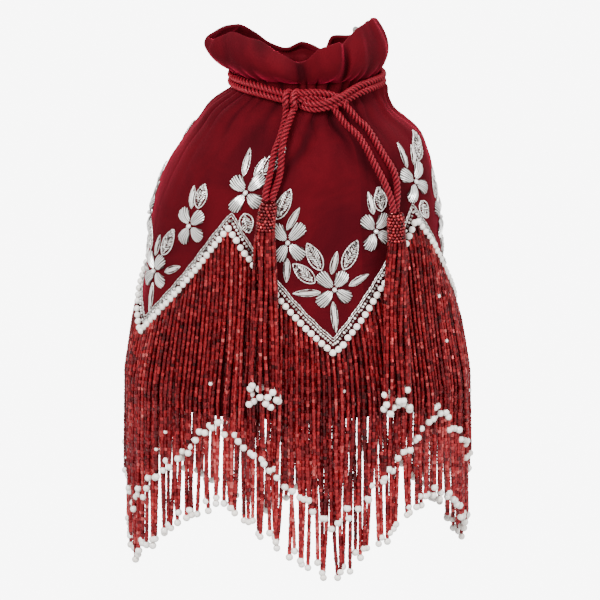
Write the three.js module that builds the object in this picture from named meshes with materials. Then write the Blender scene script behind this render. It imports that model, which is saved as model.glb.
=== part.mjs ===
// A drawstring evening pouch of velvet: a gathered neck under a standing ruffle, a double
// twisted cord tied in a half knot with two beaded tassels, sewn silver flowers, and a
// zigzag of pearls from which a long fringe of glass beads hangs.
// Millimetres. +Z is up, the front faces -Y, and the origin is the middle of the corded neck.
import * as THREE from "three";
import { mergeVertices } from "three/addons/utils/BufferGeometryUtils.js";

const DEPTH_RATIO = 0.72; // depth of the oval section over its width
const GAP = 0.3; // air between pieces that touch

// half-width of the velvet at each level, from the base seam up to the corded neck
const BODY_PROFILE = [
  [-205.1, 106.5], [-198, 107.5], [-180, 105], [-147, 99.5], [-119, 95.5], [-90, 93],
  [-69, 89], [-49, 82], [-34, 73], [-22.5, 64], [-13, 55.5], [-5.5, 46], [5, 45.5],
];
const BASE_LEVEL = -207;
const BODY_SHIFT = -7; // the body leans this far to the left of the neck
const SHIFT_TOP = -10;
const SHIFT_BOTTOM = -90;
const [NECK_TOP, NECK_HALF_WIDTH] = BODY_PROFILE[BODY_PROFILE.length - 1];
const NECK_FRONT = NECK_HALF_WIDTH * DEPTH_RATIO;

// the ruffle: height of its rim above the cord, by angle round the neck
const RIM_HEIGHTS = [
  [-180, 14], [-150, 20], [-120, 29], [-95, 31], [-75, 28], [-50, 27], [-25, 23], [-5, 20],
  [12, 28], [28, 33], [40, 31], [55, 37], [75, 40], [95, 36], [120, 24], [150, 19], [180, 14],
];
const RIM_HALF_WIDTH = 57;
const RIM_SHIFT = -6;
const RIM_FOLDS = 9;
const FOLD_DEPTH = 0.05; // of the half-width

const VELVET_WALL = 1.6;
const RUFFLE_WALL = 3; // the velvet is turned in on itself above the cord
const STEP_ANGLE = 9; // one facet of the oval, in degrees
const POINT_ANGLE = 13.9; // the front point of the zigzag, to the right of the middle
const POINT_LEVEL = -162;
const PEAK_LEVEL = -82;
const POINTS = 4;

const radians = THREE.MathUtils.degToRad;

const velvet = new THREE.MeshStandardMaterial({ color: 0x69121a, roughness: 0.95 });
const satin = new THREE.MeshStandardMaterial({ color: 0x5a1018, roughness: 0.45 });
const board = new THREE.MeshStandardMaterial({ color: 0xb9aa92, roughness: 0.9 });
const rayonCord = new THREE.MeshStandardMaterial({ color: 0x8c2630, roughness: 0.5 });
const redGlass = new THREE.MeshStandardMaterial({ color: 0x8a1a1e, roughness: 0.15 });
const pearl = new THREE.MeshStandardMaterial({ color: 0xece6dc, roughness: 0.25 });
const silver = new THREE.MeshStandardMaterial({ color: 0xc9c7c0, roughness: 0.3, metalness: 1 });

const pouch = new THREE.Group();

function addPiece(name, geometry, material) {
  const piece = new THREE.Mesh(geometry, material);
  piece.name = name;
  pouch.add(piece);
  return piece;
}

// ---- the oval that every piece follows ----

function between(stations, at) {
  const last = stations.length - 1;
  if (at <= stations[0][0]) return stations[0][1];
  if (at >= stations[last][0]) return stations[last][1];
  const upper = stations.findIndex(([place]) => place > at);
  const [low, lowValue] = stations[upper - 1];
  const [high, highValue] = stations[upper];
  return THREE.MathUtils.mapLinear(at, low, high, lowValue, highValue);
}

// even steps of arc round the oval are turned into its angle, in degrees from the front
function ovalAngle(arcAngle) {
  const UNEVENNESS = 4.64;
  let angle = arcAngle;
  for (let pass = 0; pass < 8; pass += 1) {
    angle = arcAngle - UNEVENNESS * Math.sin(radians(2 * angle));
  }
  return angle;
}

function ovalPoint(arcAngle, halfWidth, depth, shift, level) {
  const angle = radians(ovalAngle(arcAngle));
  return new THREE.Vector3(shift + halfWidth * Math.sin(angle), -depth * Math.cos(angle), level);
}

function bodyShift(level) {
  return BODY_SHIFT * (1 - THREE.MathUtils.smoothstep(level, SHIFT_BOTTOM, SHIFT_TOP));
}

// a point that stands off the velvet by the given distance
function onBody(arcAngle, level, standOff) {
  const halfWidth = between(BODY_PROFILE, level);
  const depth = halfWidth * DEPTH_RATIO;
  return ovalPoint(arcAngle, halfWidth + standOff, depth + standOff, bodyShift(level), level);
}

// a point of the ruffle: share is 0 at the cord and 1 at the rim
function onRuffle(arcAngle, share, standOff) {
  const spread = Math.sin((share * Math.PI) / 2);
  const fold = 1 + FOLD_DEPTH * share * Math.cos(RIM_FOLDS * radians(arcAngle));
  const halfWidth = THREE.MathUtils.lerp(NECK_HALF_WIDTH, RIM_HALF_WIDTH, spread) * fold;
  const rim = between(RIM_HEIGHTS, arcAngle > 180 ? arcAngle - 360 : arcAngle);
  const level = THREE.MathUtils.lerp(NECK_TOP, rim, share);
  const depth = halfWidth * DEPTH_RATIO;
  return ovalPoint(arcAngle, halfWidth + standOff, depth + standOff, RIM_SHIFT * share, level);
}

// ---- slabs and hoops bent onto the oval ----

// a slab with a column at each angle and a row at each level; place gives each corner
function bentSlab(columns, levels, place) {
  const slab = new THREE.BoxGeometry(1, 1, 1, columns.length - 1, levels.length - 1, 1);
  slab.deleteAttribute("normal");
  slab.deleteAttribute("uv");
  const solid = mergeVertices(slab);
  const corners = solid.attributes.position;
  for (let n = 0; n < corners.count; n += 1) {
    const column = Math.round((corners.getX(n) + 0.5) * (columns.length - 1));
    const row = Math.round((corners.getY(n) + 0.5) * (levels.length - 1));
    const corner = place(columns[column], levels[row], corners.getZ(n) > 0);
    corners.setXYZ(n, corner.x, corner.y, corner.z);
  }
  solid.computeVertexNormals();
  return solid;
}

// the facets of the oval between two angles, both ends included
function columnsBetween(from, to) {
  const columns = [from];
  const first = Math.ceil((from - POINT_ANGLE) / STEP_ANGLE);
  for (let step = first; POINT_ANGLE + step * STEP_ANGLE < to; step += 1) {
    const column = POINT_ANGLE + step * STEP_ANGLE;
    if (column > from) columns.push(column);
  }
  columns.push(to);
  return columns;
}

// level of the pearl line: straight limbs between four points and four peaks
function zigzagLevel(arcAngle) {
  const span = 360 / POINTS;
  const turned = THREE.MathUtils.euclideanModulo(arcAngle - POINT_ANGLE, span);
  const fromPoint = Math.min(turned, span - turned) / (span / 2);
  return THREE.MathUtils.lerp(POINT_LEVEL, PEAK_LEVEL, fromPoint);
}

const TRIM_GAP = 0.9; // the hoops bridge the facets of the velvet

// a closed hoop of small section that follows the zigzag, so far above the pearl line
function zigzagHoop(sectionRadius, sides, rise, heightShare) {
  const HOOP_RADIUS = 50;
  const steps = 360 / STEP_ANGLE;
  const hoop = new THREE.TorusGeometry(HOOP_RADIUS, sectionRadius, sides, steps);
  hoop.deleteAttribute("normal");
  hoop.deleteAttribute("uv");
  const solid = mergeVertices(hoop);
  const corners = solid.attributes.position;
  for (let n = 0; n < corners.count; n += 1) {
    const x = corners.getX(n);
    const y = corners.getY(n);
    const step = Math.round((Math.atan2(y, x) / (2 * Math.PI)) * steps);
    const arcAngle = POINT_ANGLE + step * STEP_ANGLE;
    const out = Math.hypot(x, y) - HOOP_RADIUS + sectionRadius + TRIM_GAP;
    const level = zigzagLevel(arcAngle) + rise + corners.getZ(n) * heightShare;
    const corner = onBody(arcAngle, level, out);
    corners.setXYZ(n, corner.x, corner.y, corner.z);
  }
  solid.computeVertexNormals();
  return solid;
}

// ---- velvet: a front and a back panel, sewn at the sides, and the oval base ----

const RUFFLE_SHARES = [0.25, 0.5, 0.75, 1];
const SEAM_FACE = 0.2;
const CASING_LOW = -6; // the turned-in velvet of the ruffle ends just below the cord

function velvetCorner(arcAngle, { level, share }, outer) {
  if (share) return onRuffle(arcAngle, share, outer ? 0 : -RUFFLE_WALL);
  const wall = level > CASING_LOW ? RUFFLE_WALL : VELVET_WALL;
  return onBody(arcAngle, level, outer ? 0 : -wall);
}

function velvetPanel(from, to) {
  const rows = [
    ...BODY_PROFILE.map(([level]) => ({ level })), ...RUFFLE_SHARES.map((share) => ({ share })),
  ];
  const columns = columnsBetween(from, to);
  return bentSlab(columns, rows, (arcAngle, row, outer) => {
    const corner = velvetCorner(arcAngle, row, outer);
    if (arcAngle === from || arcAngle === to) corner.y = to > 180 ? SEAM_FACE : -SEAM_FACE;
    return corner;
  });
}

addPiece("velvet_front", velvetPanel(-90, 90), velvet);
addPiece("velvet_back", velvetPanel(90, 270), velvet);

// a round slab or cup turned on the axis, then pressed to the oval of the body
function pressedTurning(profile, facets) {
  const outline = profile.map(([radius, level]) => new THREE.Vector2(radius, level));
  const turning = new THREE.LatheGeometry(outline, facets);
  turning.rotateX(Math.PI / 2);
  turning.deleteAttribute("normal");
  turning.deleteAttribute("uv");
  const solid = mergeVertices(turning);
  const corners = solid.attributes.position;
  const LINING_RATIO = 0.705;
  for (let n = 0; n < corners.count; n += 1) {
    const level = corners.getZ(n);
    corners.setX(n, corners.getX(n) + bodyShift(level));
    corners.setY(n, corners.getY(n) * LINING_RATIO);
  }
  solid.computeVertexNormals();
  return solid;
}

const BASE_TOP = BODY_PROFILE[0][0] - GAP;
const OVAL_FACETS = 40;
const basePanel = new THREE.CylinderGeometry(
  BODY_PROFILE[0][1], BODY_PROFILE[0][1] - 1, BASE_TOP - BASE_LEVEL, OVAL_FACETS, 1,
);
basePanel.rotateX(Math.PI / 2);
basePanel.scale(1, DEPTH_RATIO, 1);
basePanel.translate(BODY_SHIFT, 0, (BASE_TOP + BASE_LEVEL) / 2);
addPiece("base_panel", basePanel, velvet);

// ---- inside: the stiff board on the base, and the satin lining that hides it ----

const INSIDE = BODY_PROFILE[0][1] - 3;
const BOARD_LOW = BODY_PROFILE[0][0];
const BOARD_HIGH = BOARD_LOW + 2;
addPiece("base_board", pressedTurning([
  [0, BOARD_LOW], [INSIDE, BOARD_LOW], [INSIDE, BOARD_HIGH], [0, BOARD_HIGH],
], OVAL_FACETS), board);

const LINING_WALL = 0.8;
const LINING_INSET = 3.2;
const LINING_FLOOR = BOARD_HIGH + GAP;
const liningLevels = BODY_PROFILE.slice(1, -2);
const liningOutside = liningLevels.map(([level, half]) => [half - LINING_INSET, level]);
const liningInside = liningOutside.map(([half, level]) => [half - LINING_WALL, level]).reverse();
const FLOOR_RADIUS = liningOutside[0][0] - 1;
addPiece("lining", pressedTurning([
  [0, LINING_FLOOR], [FLOOR_RADIUS, LINING_FLOOR], ...liningOutside,
  ...liningInside, [FLOOR_RADIUS - 2, LINING_FLOOR + LINING_WALL], [0, LINING_FLOOR + LINING_WALL],
], OVAL_FACETS), satin);

// ---- the trim line: pearls, a row of small silver beads, and a silver wire ----

const PEARL_RADIUS = 2;
addPiece("pearl_row", zigzagHoop(PEARL_RADIUS, 6, 0, 1.4), pearl);
addPiece("silver_bead_row", zigzagHoop(1, 4, 5.4, 1.5), silver);
addPiece("silver_wire", zigzagHoop(0.6, 4, 8.6, 1.5), silver);

// ---- the fringe: four curtains of bead strands, pointed like the zigzag ----

const FRINGE_TOP_DROP = 3.8;
const FRINGE_TIP_POINT = -318;
const FRINGE_TIP_PEAK = -262;
const FRINGE_STAND_OFF = 2; // clear of the facets of the velvet
const FRINGE_THICKNESS = 2.2;
const FRINGE_ROWS = [1, 0.84, 0.7, 0.56, 0.42, 0.28, 0.14, 0];

function fringeLevel(arcAngle, share) {
  const top = zigzagLevel(arcAngle);
  const fromPoint = (top - POINT_LEVEL) / (PEAK_LEVEL - POINT_LEVEL);
  const tip = THREE.MathUtils.lerp(FRINGE_TIP_POINT, FRINGE_TIP_PEAK, fromPoint);
  return THREE.MathUtils.lerp(top - FRINGE_TOP_DROP, tip, share);
}

// below the widest level the strands hang straight down
function hanging(arcAngle, level, standOff) {
  const WIDEST = -198;
  const corner = onBody(arcAngle, Math.max(level, WIDEST), standOff);
  corner.z = level;
  return corner;
}

const sides = ["front", "right", "back", "left"];
const HALF_CURTAIN = 180 / POINTS - 0.15;
sides.forEach((side, index) => {
  const middle = POINT_ANGLE + (index * 360) / POINTS;
  const columns = columnsBetween(middle - HALF_CURTAIN, middle + HALF_CURTAIN);
  const curtain = bentSlab(columns, FRINGE_ROWS, (arcAngle, share, outer) => {
    const standOff = FRINGE_STAND_OFF + (outer ? FRINGE_THICKNESS : 0);
    return hanging(arcAngle, fringeLevel(arcAngle, share), standOff);
  });
  addPiece(`fringe_${side}`, curtain, redGlass);
});

// ---- embroidery: flowers of silver tube beads with their leaves, one spray each ----

// each petal or leaf leaves the middle of its flower: [across, up, width], its tip and width
const SPRAYS = {
  point: {
    from: 3, level: -122,
    leaves: [
      [-10, 12, 8], [-24, 16, 7], [-15, 29, 8], [6, 9, 8], [2.5, 24, 4], [15, 29, 8],
      [22, 8, 4], [9, -7, 8], [0, -22, 4], [-10, -10, 8], [-23, -1, 4],
    ],
  },
  left_limb: {
    from: -19, level: -88,
    leaves: [
      [-10, 11, 7], [-3, 31, 8], [6, 21, 4], [11, 11, 8], [10, -10, 8], [-1, -22, 4],
      [-7, -12, 7],
    ],
  },
  right_limb: {
    from: 23, level: -87,
    leaves: [
      [-7, 9, 8], [-3, 24, 4], [5, 23, 7], [9, 10, 8], [9, -6, 8], [-5, -13, 8],
    ],
  },
  peak: {
    from: 48, level: -60,
    leaves: [
      [-12, 6, 8], [-5, 23, 5], [8, 11, 7], [15, 26, 8], [11, -3, 8], [-5, -12, 8],
    ],
  },
};
const SPRAY_STAND_OFF = 2.0;
const SPRAY_THICKNESS = 1.4;
const SPRAY_HEART = 2.5; // radius at which neighbouring petals part

function sprayOutline(leaves) {
  const turned = leaves.map(([across, up, width]) => ({
    angle: Math.atan2(up, across), length: Math.hypot(across, up), width,
  })).sort((one, other) => one.angle - other.angle);
  const outline = [];
  turned.forEach(({ angle, length, width }, index) => {
    const next = turned[(index + 1) % turned.length].angle;
    const last = turned.at(index - 1).angle;
    const turn = THREE.MathUtils.euclideanModulo(next - angle, 2 * Math.PI);
    const turnBack = THREE.MathUtils.euclideanModulo(angle - last, 2 * Math.PI);
    // each side of a leaf keeps inside its half of the gap to its neighbour
    const [before, after] = [turnBack, turn].map((gap) => (
      Math.min(width / 2, length * 0.6 * Math.tan(Math.min(gap, 1.2) * 0.42))));
    const along = new THREE.Vector2(Math.cos(angle), Math.sin(angle));
    const aside = new THREE.Vector2(-along.y, along.x);
    const middle = along.clone().multiplyScalar(length * 0.62);
    outline.push(middle.clone().addScaledVector(aside, -before));
    outline.push(along.clone().multiplyScalar(length));
    outline.push(middle.clone().addScaledVector(aside, after));
    const parting = angle + turn / 2;
    outline.push(new THREE.Vector2(Math.cos(parting), Math.sin(parting)).multiplyScalar(SPRAY_HEART));
  });
  return outline;
}

// the flat outline is laid on the oval: across becomes arc, up becomes level
function laidOnBody(outline, arcAngle, level) {
  const flat = new THREE.ExtrudeGeometry(new THREE.Shape(outline), {
    depth: SPRAY_THICKNESS, bevelEnabled: false, steps: 1,
  });
  flat.deleteAttribute("normal");
  flat.deleteAttribute("uv");
  const solid = mergeVertices(flat);
  const corners = solid.attributes.position;
  for (let n = 0; n < corners.count; n += 1) {
    const upLevel = level + corners.getY(n);
    const meanRadius = (between(BODY_PROFILE, upLevel) * (1 + DEPTH_RATIO)) / 2;
    const turned = arcAngle + THREE.MathUtils.radToDeg(corners.getX(n) / meanRadius);
    const corner = onBody(turned, upLevel, SPRAY_STAND_OFF + corners.getZ(n));
    corners.setXYZ(n, corner.x, corner.y, corner.z);
  }
  solid.computeVertexNormals();
  return solid;
}

sides.forEach((side, index) => {
  const middle = POINT_ANGLE + (index * 360) / POINTS;
  Object.entries(SPRAYS).forEach(([place, { from, level, leaves }]) => {
    const spray = laidOnBody(sprayOutline(leaves), middle + from, level);
    addPiece(`flower_${side}_${place}`, spray, silver);
  });
});

// ---- the two neck cords, tied in one half knot ----

const CORD_DIAMETER = 4.2;
const CORD_SIDES = 8;
const KNOT_MIDDLE = new THREE.Vector3(4, -NECK_FRONT - 6.2, 0);
const KNOT_HALF = new THREE.Vector3(16, 5, 7);

function cordSection() {
  const outline = new THREE.Shape();
  outline.absarc(0, 0, CORD_DIAMETER / 2, 0, 2 * Math.PI);
  return outline;
}

function cordAlong(points, steps) {
  const route = new THREE.CatmullRomCurve3(points, false, "centripetal");
  const tube = new THREE.ExtrudeGeometry(cordSection(), {
    steps, extrudePath: route, curveSegments: CORD_SIDES / 2, bevelEnabled: false,
  });
  tube.deleteAttribute("normal");
  tube.deleteAttribute("uv");
  const solid = mergeVertices(tube, 1e-3);
  solid.computeVertexNormals();
  return solid;
}

// each cord runs from one end of the knot round the back of the neck to the other
function neckCord(level) {
  const standOff = CORD_DIAMETER / 2 + GAP;
  const halfWidth = between(BODY_PROFILE, 0) + standOff + 1;
  const depth = NECK_FRONT + standOff + 1;
  const START_ANGLE = 31;
  const END_ANGLE = 343;
  const POINTS_ROUND = 26;
  const points = [];
  for (let n = 0; n <= POINTS_ROUND; n += 1) {
    const arcAngle = THREE.MathUtils.lerp(START_ANGLE, END_ANGLE, n / POINTS_ROUND);
    points.push(ovalPoint(arcAngle, halfWidth, depth, 0, level));
  }
  return cordAlong(points, 36);
}

const UPPER_CORD_LEVEL = 2.4;
addPiece("neck_cord_upper", neckCord(UPPER_CORD_LEVEL), rayonCord);
addPiece("neck_cord_lower", neckCord(-UPPER_CORD_LEVEL), rayonCord);

const knot = new THREE.SphereGeometry(1, 14, 9);
knot.rotateX(Math.PI / 2);
knot.scale(KNOT_HALF.x, KNOT_HALF.y, KNOT_HALF.z);
knot.translate(KNOT_MIDDLE.x, KNOT_MIDDLE.y, KNOT_MIDDLE.z);
addPiece("half_knot", knot, rayonCord);

// ---- the tails: each cord's two ends hang over the shoulder of the bag to a tassel ----

const TAILS = {
  tail_left_front: [
    [-8, -41, -8], [-10.5, -43, -11.5], [-12.5, -45, -15.5], [-14.5, -48, -20.5],
    [-16, -51.5, -26], [-17, -55, -32], [-17, -58, -37.5], [-17, -59.5, -42.5],
    [-17.5, -61.5, -47.5], [-19, -63, -52.5], [-21, -65, -57], [-23, -67, -60.5],
    [-24, -68, -62],
  ],
  tail_left_rear: [
    [-14, -41, -7.5], [-16.5, -43.5, -12], [-18.5, -46, -17], [-20.5, -49, -22],
    [-22, -52.5, -27.5], [-23, -56, -33], [-23.5, -59, -38.5], [-24, -61, -43.5],
    [-25, -62.5, -49], [-26.5, -64.5, -54], [-28, -67, -58.5], [-28.7, -69.5, -62.6],
  ],
  tail_right_front: [
    [24.5, -39.5, -7], [28.5, -40, -11.5], [32.5, -40, -16.5], [37, -40, -20.5],
    [40.5, -40.5, -25], [43.5, -42, -29.5], [46.5, -43.5, -34.5], [50, -44, -39.5],
    [53.5, -44.5, -44.5], [56.5, -45, -49.5], [59, -46, -55], [60.5, -47.5, -61],
    [61.5, -50, -67], [61, -53, -73.6],
  ],
  tail_right_rear: [
    [18, -42, -9.5], [21, -43.5, -13.5], [24.5, -44.5, -18], [29, -45.5, -22], [33, -46, -26],
    [36.5, -47, -31], [39.5, -48, -36], [42, -49, -41], [44.5, -49.5, -45.5],
    [47.5, -49.5, -50.5], [50.5, -50.5, -55.5], [53, -51.5, -61], [55.3, -53, -67],
    [56.6, -55.2, -73.6],
  ],
};
const TAIL_STEPS = 12;
Object.entries(TAILS).forEach(([name, points]) => {
  const route = points.map((point) => new THREE.Vector3(...point));
  addPiece(name, cordAlong(route, TAIL_STEPS), rayonCord);
});

// ---- the tassels: a head netted in seed beads, and a skirt of bead strands ----

// rows from the top down: [drop, half-width, half-depth, stand-off of the middle]
const HEAD_ROWS = [[0, 4.4, 3.4, 8], [3, 5.4, 4.6, 8.4], [10, 5.8, 5.2, 9], [17, 5.8, 5, 9.2]];
const SKIRT_ROWS = [
  [17.4, 5.8, 4.6, 9.6], [30, 6.6, 4.4, 9.6], [60, 7.4, 4, 9], [95, 8, 3.8, 8.6],
  [130, 8, 3.6, 8.4],
];
const TASSELS = {
  left: { top: -63.6, angle: -14.8, lowAngle: -13.1 },
  right: { top: -74.7, angle: 46.6, lowAngle: 39.5 },
};

// a flattened column that hangs against the bag, turned a little as it goes down
function hangingColumn(rows, { top, angle, lowAngle }) {
  const column = new THREE.CylinderGeometry(1, 1, 1, 12, rows.length - 1);
  column.deleteAttribute("normal");
  column.deleteAttribute("uv");
  const solid = mergeVertices(column);
  const corners = solid.attributes.position;
  const lowest = SKIRT_ROWS[SKIRT_ROWS.length - 1][0];
  for (let n = 0; n < corners.count; n += 1) {
    const row = Math.round((0.5 - corners.getY(n)) * (rows.length - 1));
    const [drop, halfWidth, halfDepth, standOff] = rows[row];
    const level = top - drop;
    const meanRadius = (between(BODY_PROFILE, level) * (1 + DEPTH_RATIO)) / 2 + standOff;
    const aside = THREE.MathUtils.radToDeg((corners.getX(n) * halfWidth) / meanRadius);
    const arcAngle = THREE.MathUtils.lerp(angle, lowAngle, drop / lowest) + aside;
    const corner = hanging(arcAngle, level, standOff + corners.getZ(n) * halfDepth);
    corners.setXYZ(n, corner.x, corner.y, corner.z);
  }
  solid.computeVertexNormals();
  return solid;
}

Object.entries(TASSELS).forEach(([side, place]) => {
  addPiece(`tassel_head_${side}`, hangingColumn(HEAD_ROWS, place), redGlass);
  addPiece(`tassel_skirt_${side}`, hangingColumn(SKIRT_ROWS, place), redGlass);
});

// ---- the press stud that closes the mouth: a stud and its socket inside the rim ----

const STUD_RADIUS = 4;
const STUD_THICKNESS = 1.6;

function rimDisc(arcAngle, share) {
  const seat = onRuffle(arcAngle, share, -RUFFLE_WALL - GAP - STUD_THICKNESS);
  const above = onRuffle(arcAngle, share + 0.1, -RUFFLE_WALL - GAP - STUD_THICKNESS);
  const beside = onRuffle(arcAngle + 2, share, -RUFFLE_WALL - GAP - STUD_THICKNESS);
  const up = above.sub(seat).normalize();
  const outward = beside.sub(seat).cross(up).normalize();
  const disc = new THREE.CylinderGeometry(STUD_RADIUS, STUD_RADIUS, STUD_THICKNESS, 12);
  disc.applyQuaternion(new THREE.Quaternion().setFromUnitVectors(
    new THREE.Vector3(0, 1, 0), outward,
  ));
  disc.translate(seat.x, seat.y, seat.z);
  return disc;
}

addPiece("snap_stud", rimDisc(50, 0.9), silver);
addPiece("snap_socket", rimDisc(130, 0.8), silver);

export default pouch;
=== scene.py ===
import bpy
import math
import numpy as np
from mathutils import Matrix, Vector


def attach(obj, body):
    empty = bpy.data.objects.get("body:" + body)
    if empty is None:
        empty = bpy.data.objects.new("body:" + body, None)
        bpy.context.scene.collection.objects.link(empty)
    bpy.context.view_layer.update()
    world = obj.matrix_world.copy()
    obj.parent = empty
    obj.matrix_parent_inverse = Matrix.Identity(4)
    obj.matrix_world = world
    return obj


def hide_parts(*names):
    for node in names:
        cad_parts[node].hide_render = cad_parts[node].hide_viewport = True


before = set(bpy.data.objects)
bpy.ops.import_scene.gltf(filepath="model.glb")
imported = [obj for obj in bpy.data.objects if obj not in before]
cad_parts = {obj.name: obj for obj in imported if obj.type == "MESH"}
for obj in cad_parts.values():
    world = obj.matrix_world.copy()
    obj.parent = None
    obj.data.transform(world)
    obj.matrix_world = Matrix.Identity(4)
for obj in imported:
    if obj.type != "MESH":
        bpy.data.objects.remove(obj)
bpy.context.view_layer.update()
MM = 0.001

# ---------------------------------------------------------------- studio
# The pouch hangs by its neck over a plain pale floor and before a plain pale
# backdrop, in the light of three soft lamps, seen from a little above its middle.
VIEW_RISE = math.radians(16)
VIEW_DISTANCE = 9
VIEW_CENTRE = Vector((-4.5, 0, -148.4)) * MM
VIEW_HEIGHT = 0.388
SENSOR = 36  # mm

camera_data = bpy.data.cameras.new("camera")
camera_data.sensor_width = SENSOR
camera_data.lens = SENSOR * VIEW_DISTANCE / VIEW_HEIGHT
camera = bpy.data.objects.new("camera", camera_data)
bpy.context.collection.objects.link(camera)
towards_camera = Vector((0, -math.cos(VIEW_RISE), math.sin(VIEW_RISE)))
camera.location = VIEW_CENTRE + towards_camera * VIEW_DISTANCE
camera.rotation_mode = "QUATERNION"
camera.rotation_quaternion = (-towards_camera).to_track_quat("-Z", "Y")
bpy.context.scene.camera = camera

SKY_LIGHT = 1.1
BACKDROP = 8  # the brightness that the camera sees behind and below the pouch
world = bpy.data.worlds.new("studio")
world.use_nodes = True
sky_nodes = world.node_tree.nodes
sky_nodes["Background"].inputs["Color"].default_value = (1, 1, 1, 1)
sky_nodes["Background"].inputs["Strength"].default_value = SKY_LIGHT
backdrop = sky_nodes.new("ShaderNodeBackground")
backdrop.inputs["Strength"].default_value = BACKDROP
seen = sky_nodes.new("ShaderNodeLightPath")
either = sky_nodes.new("ShaderNodeMixShader")
sky_links = world.node_tree.links
sky_links.new(seen.outputs["Is Camera Ray"], either.inputs[0])
sky_links.new(sky_nodes["Background"].outputs["Background"], either.inputs[1])
sky_links.new(backdrop.outputs["Background"], either.inputs[2])
sky_links.new(either.outputs["Shader"], sky_nodes["World Output"].inputs["Surface"])
bpy.context.scene.world = world

FLOOR_LEVEL = -620
FLOOR_WIDTH = 12  # metres
bpy.ops.object.select_all(action="DESELECT")
bpy.ops.mesh.primitive_plane_add(size=FLOOR_WIDTH)
studio_floor = bpy.context.object
studio_floor.name = "studio_floor"
bpy.ops.transform.translate(value=(0, 0, FLOOR_LEVEL * MM))
bpy.ops.object.transform_apply(location=True, rotation=False, scale=False)
floor_paper = bpy.data.materials.new("floor_paper")
floor_paper.use_nodes = True
paper_nodes = floor_paper.node_tree.nodes
paper_nodes["Principled BSDF"].inputs["Base Color"].default_value = (0.4, 0.4, 0.4, 1)
paper_glow = paper_nodes.new("ShaderNodeEmission")
paper_glow.inputs["Strength"].default_value = BACKDROP
paper_seen = paper_nodes.new("ShaderNodeLightPath")
paper_mix = paper_nodes.new("ShaderNodeMixShader")
paper_links = floor_paper.node_tree.links
paper_links.new(paper_seen.outputs["Is Camera Ray"], paper_mix.inputs[0])
paper_links.new(paper_nodes["Principled BSDF"].outputs["BSDF"], paper_mix.inputs[1])
paper_links.new(paper_glow.outputs["Emission"], paper_mix.inputs[2])
paper_links.new(paper_mix.outputs["Shader"], paper_nodes["Material Output"].inputs["Surface"])
studio_floor.data.materials.append(floor_paper)

# each lamp: its name, place, width and power
LAMPS = [
    ("key_lamp", (-0.8, -1.5, 1.1), 0.8, 68),
    ("fill_lamp", (1.4, -1.2, 0.5), 1.2, 32),
    ("top_lamp", (0.1, 0.5, 1.6), 0.6, 20),
]
for lamp_name, place, width, power in LAMPS:
    lamp_data = bpy.data.lights.new(lamp_name, "AREA")
    lamp_data.shape = "DISK"
    lamp_data.size = width
    lamp_data.energy = power
    lamp = bpy.data.objects.new(lamp_name, lamp_data)
    bpy.context.collection.objects.link(lamp)
    lamp.location = place
    aim = VIEW_CENTRE - Vector(place)
    lamp.rotation_mode = "QUATERNION"
    lamp.rotation_quaternion = aim.to_track_quat("-Z", "Y")


# ---------------------------------------------------------------- tail cords
# Each neck cord ends in two tails that hang over the shoulder of the bag. The
# cord is three plies of rayon laid in a right-hand twist, 4.7 mm across.
CORD_WIDTH = 4.7
CORD_PLIES = 3
CORD_LAY = 8.7  # length in which a ply goes once round the cord
# painted shade and highlight: the cord's colour runs from the shaded red down between the plies to the
# lit red on top of each ply
CORD_RED_SHADED = (0.036, 0.001, 0.0025, 1)
CORD_RED_LIT = (0.23, 0.008, 0.017, 1)
CORD_CORNERS = 24
PLY_CENTRE = 0.55  # where the middle of a ply lies, as a share of the cord's radius
GROOVE_RADIUS = 0.16  # radius down between two plies, as a share of the cord's width
FIBRES_ROUND = 6


def new_material(name):
    made = bpy.data.materials.new(name)
    made.use_nodes = True
    return made, made.node_tree, made.node_tree.nodes["Principled BSDF"]


def cord_finish():
    made, tree, shader = new_material("rayon_cord")
    coords = tree.nodes.new("ShaderNodeUVMap")
    fibres = tree.nodes.new("ShaderNodeTexWave")
    fibres.inputs["Scale"].default_value = 3.2
    fibres.inputs["Distortion"].default_value = 0.6
    fibres.inputs["Detail"].default_value = 2
    fleck = tree.nodes.new("ShaderNodeTexNoise")
    fleck.inputs["Scale"].default_value = 60
    # painted shade and highlight: the ridge attribute darkens the colour down between the plies and
    # lightens it on top of each ply
    ridge = tree.nodes.new("ShaderNodeAttribute")  # 0 down between the plies, 1 on top
    ridge.attribute_name = "ridge"
    softened = tree.nodes.new("ShaderNodeMath")
    softened.operation = "MULTIPLY"
    softened.inputs[1].default_value = 0.4
    combined = tree.nodes.new("ShaderNodeMath")
    combined.operation = "MULTIPLY_ADD"
    combined.inputs[1].default_value = 0.75
    ramp = tree.nodes.new("ShaderNodeValToRGB")
    ramp.color_ramp.elements[0].color = CORD_RED_SHADED
    ramp.color_ramp.elements[1].color = CORD_RED_LIT
    ramp.color_ramp.elements[0].position = 0.3
    bump = tree.nodes.new("ShaderNodeBump")
    bump.inputs["Strength"].default_value = 0.35
    bump.inputs["Distance"].default_value = 0.0002
    links = tree.links
    links.new(coords.outputs["UV"], fibres.inputs["Vector"])
    links.new(coords.outputs["UV"], fleck.inputs["Vector"])
    links.new(fleck.outputs["Fac"], softened.inputs[0])
    links.new(ridge.outputs["Fac"], combined.inputs[0])
    links.new(softened.outputs["Value"], combined.inputs[2])
    links.new(combined.outputs["Value"], ramp.inputs["Fac"])
    links.new(ramp.outputs["Color"], shader.inputs["Base Color"])
    links.new(fibres.outputs["Fac"], bump.inputs["Height"])
    links.new(bump.outputs["Normal"], shader.inputs["Normal"])
    shader.inputs["Roughness"].default_value = 0.36
    shader.inputs["Specular Tint"].default_value = (1, 0.3, 0.34, 1)
    shader.inputs["Sheen Weight"].default_value = 0.08
    shader.inputs["Sheen Roughness"].default_value = 0.35
    shader.inputs["Sheen Tint"].default_value = (1, 0.3, 0.3, 1)
    return made


cord_material = cord_finish()


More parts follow.
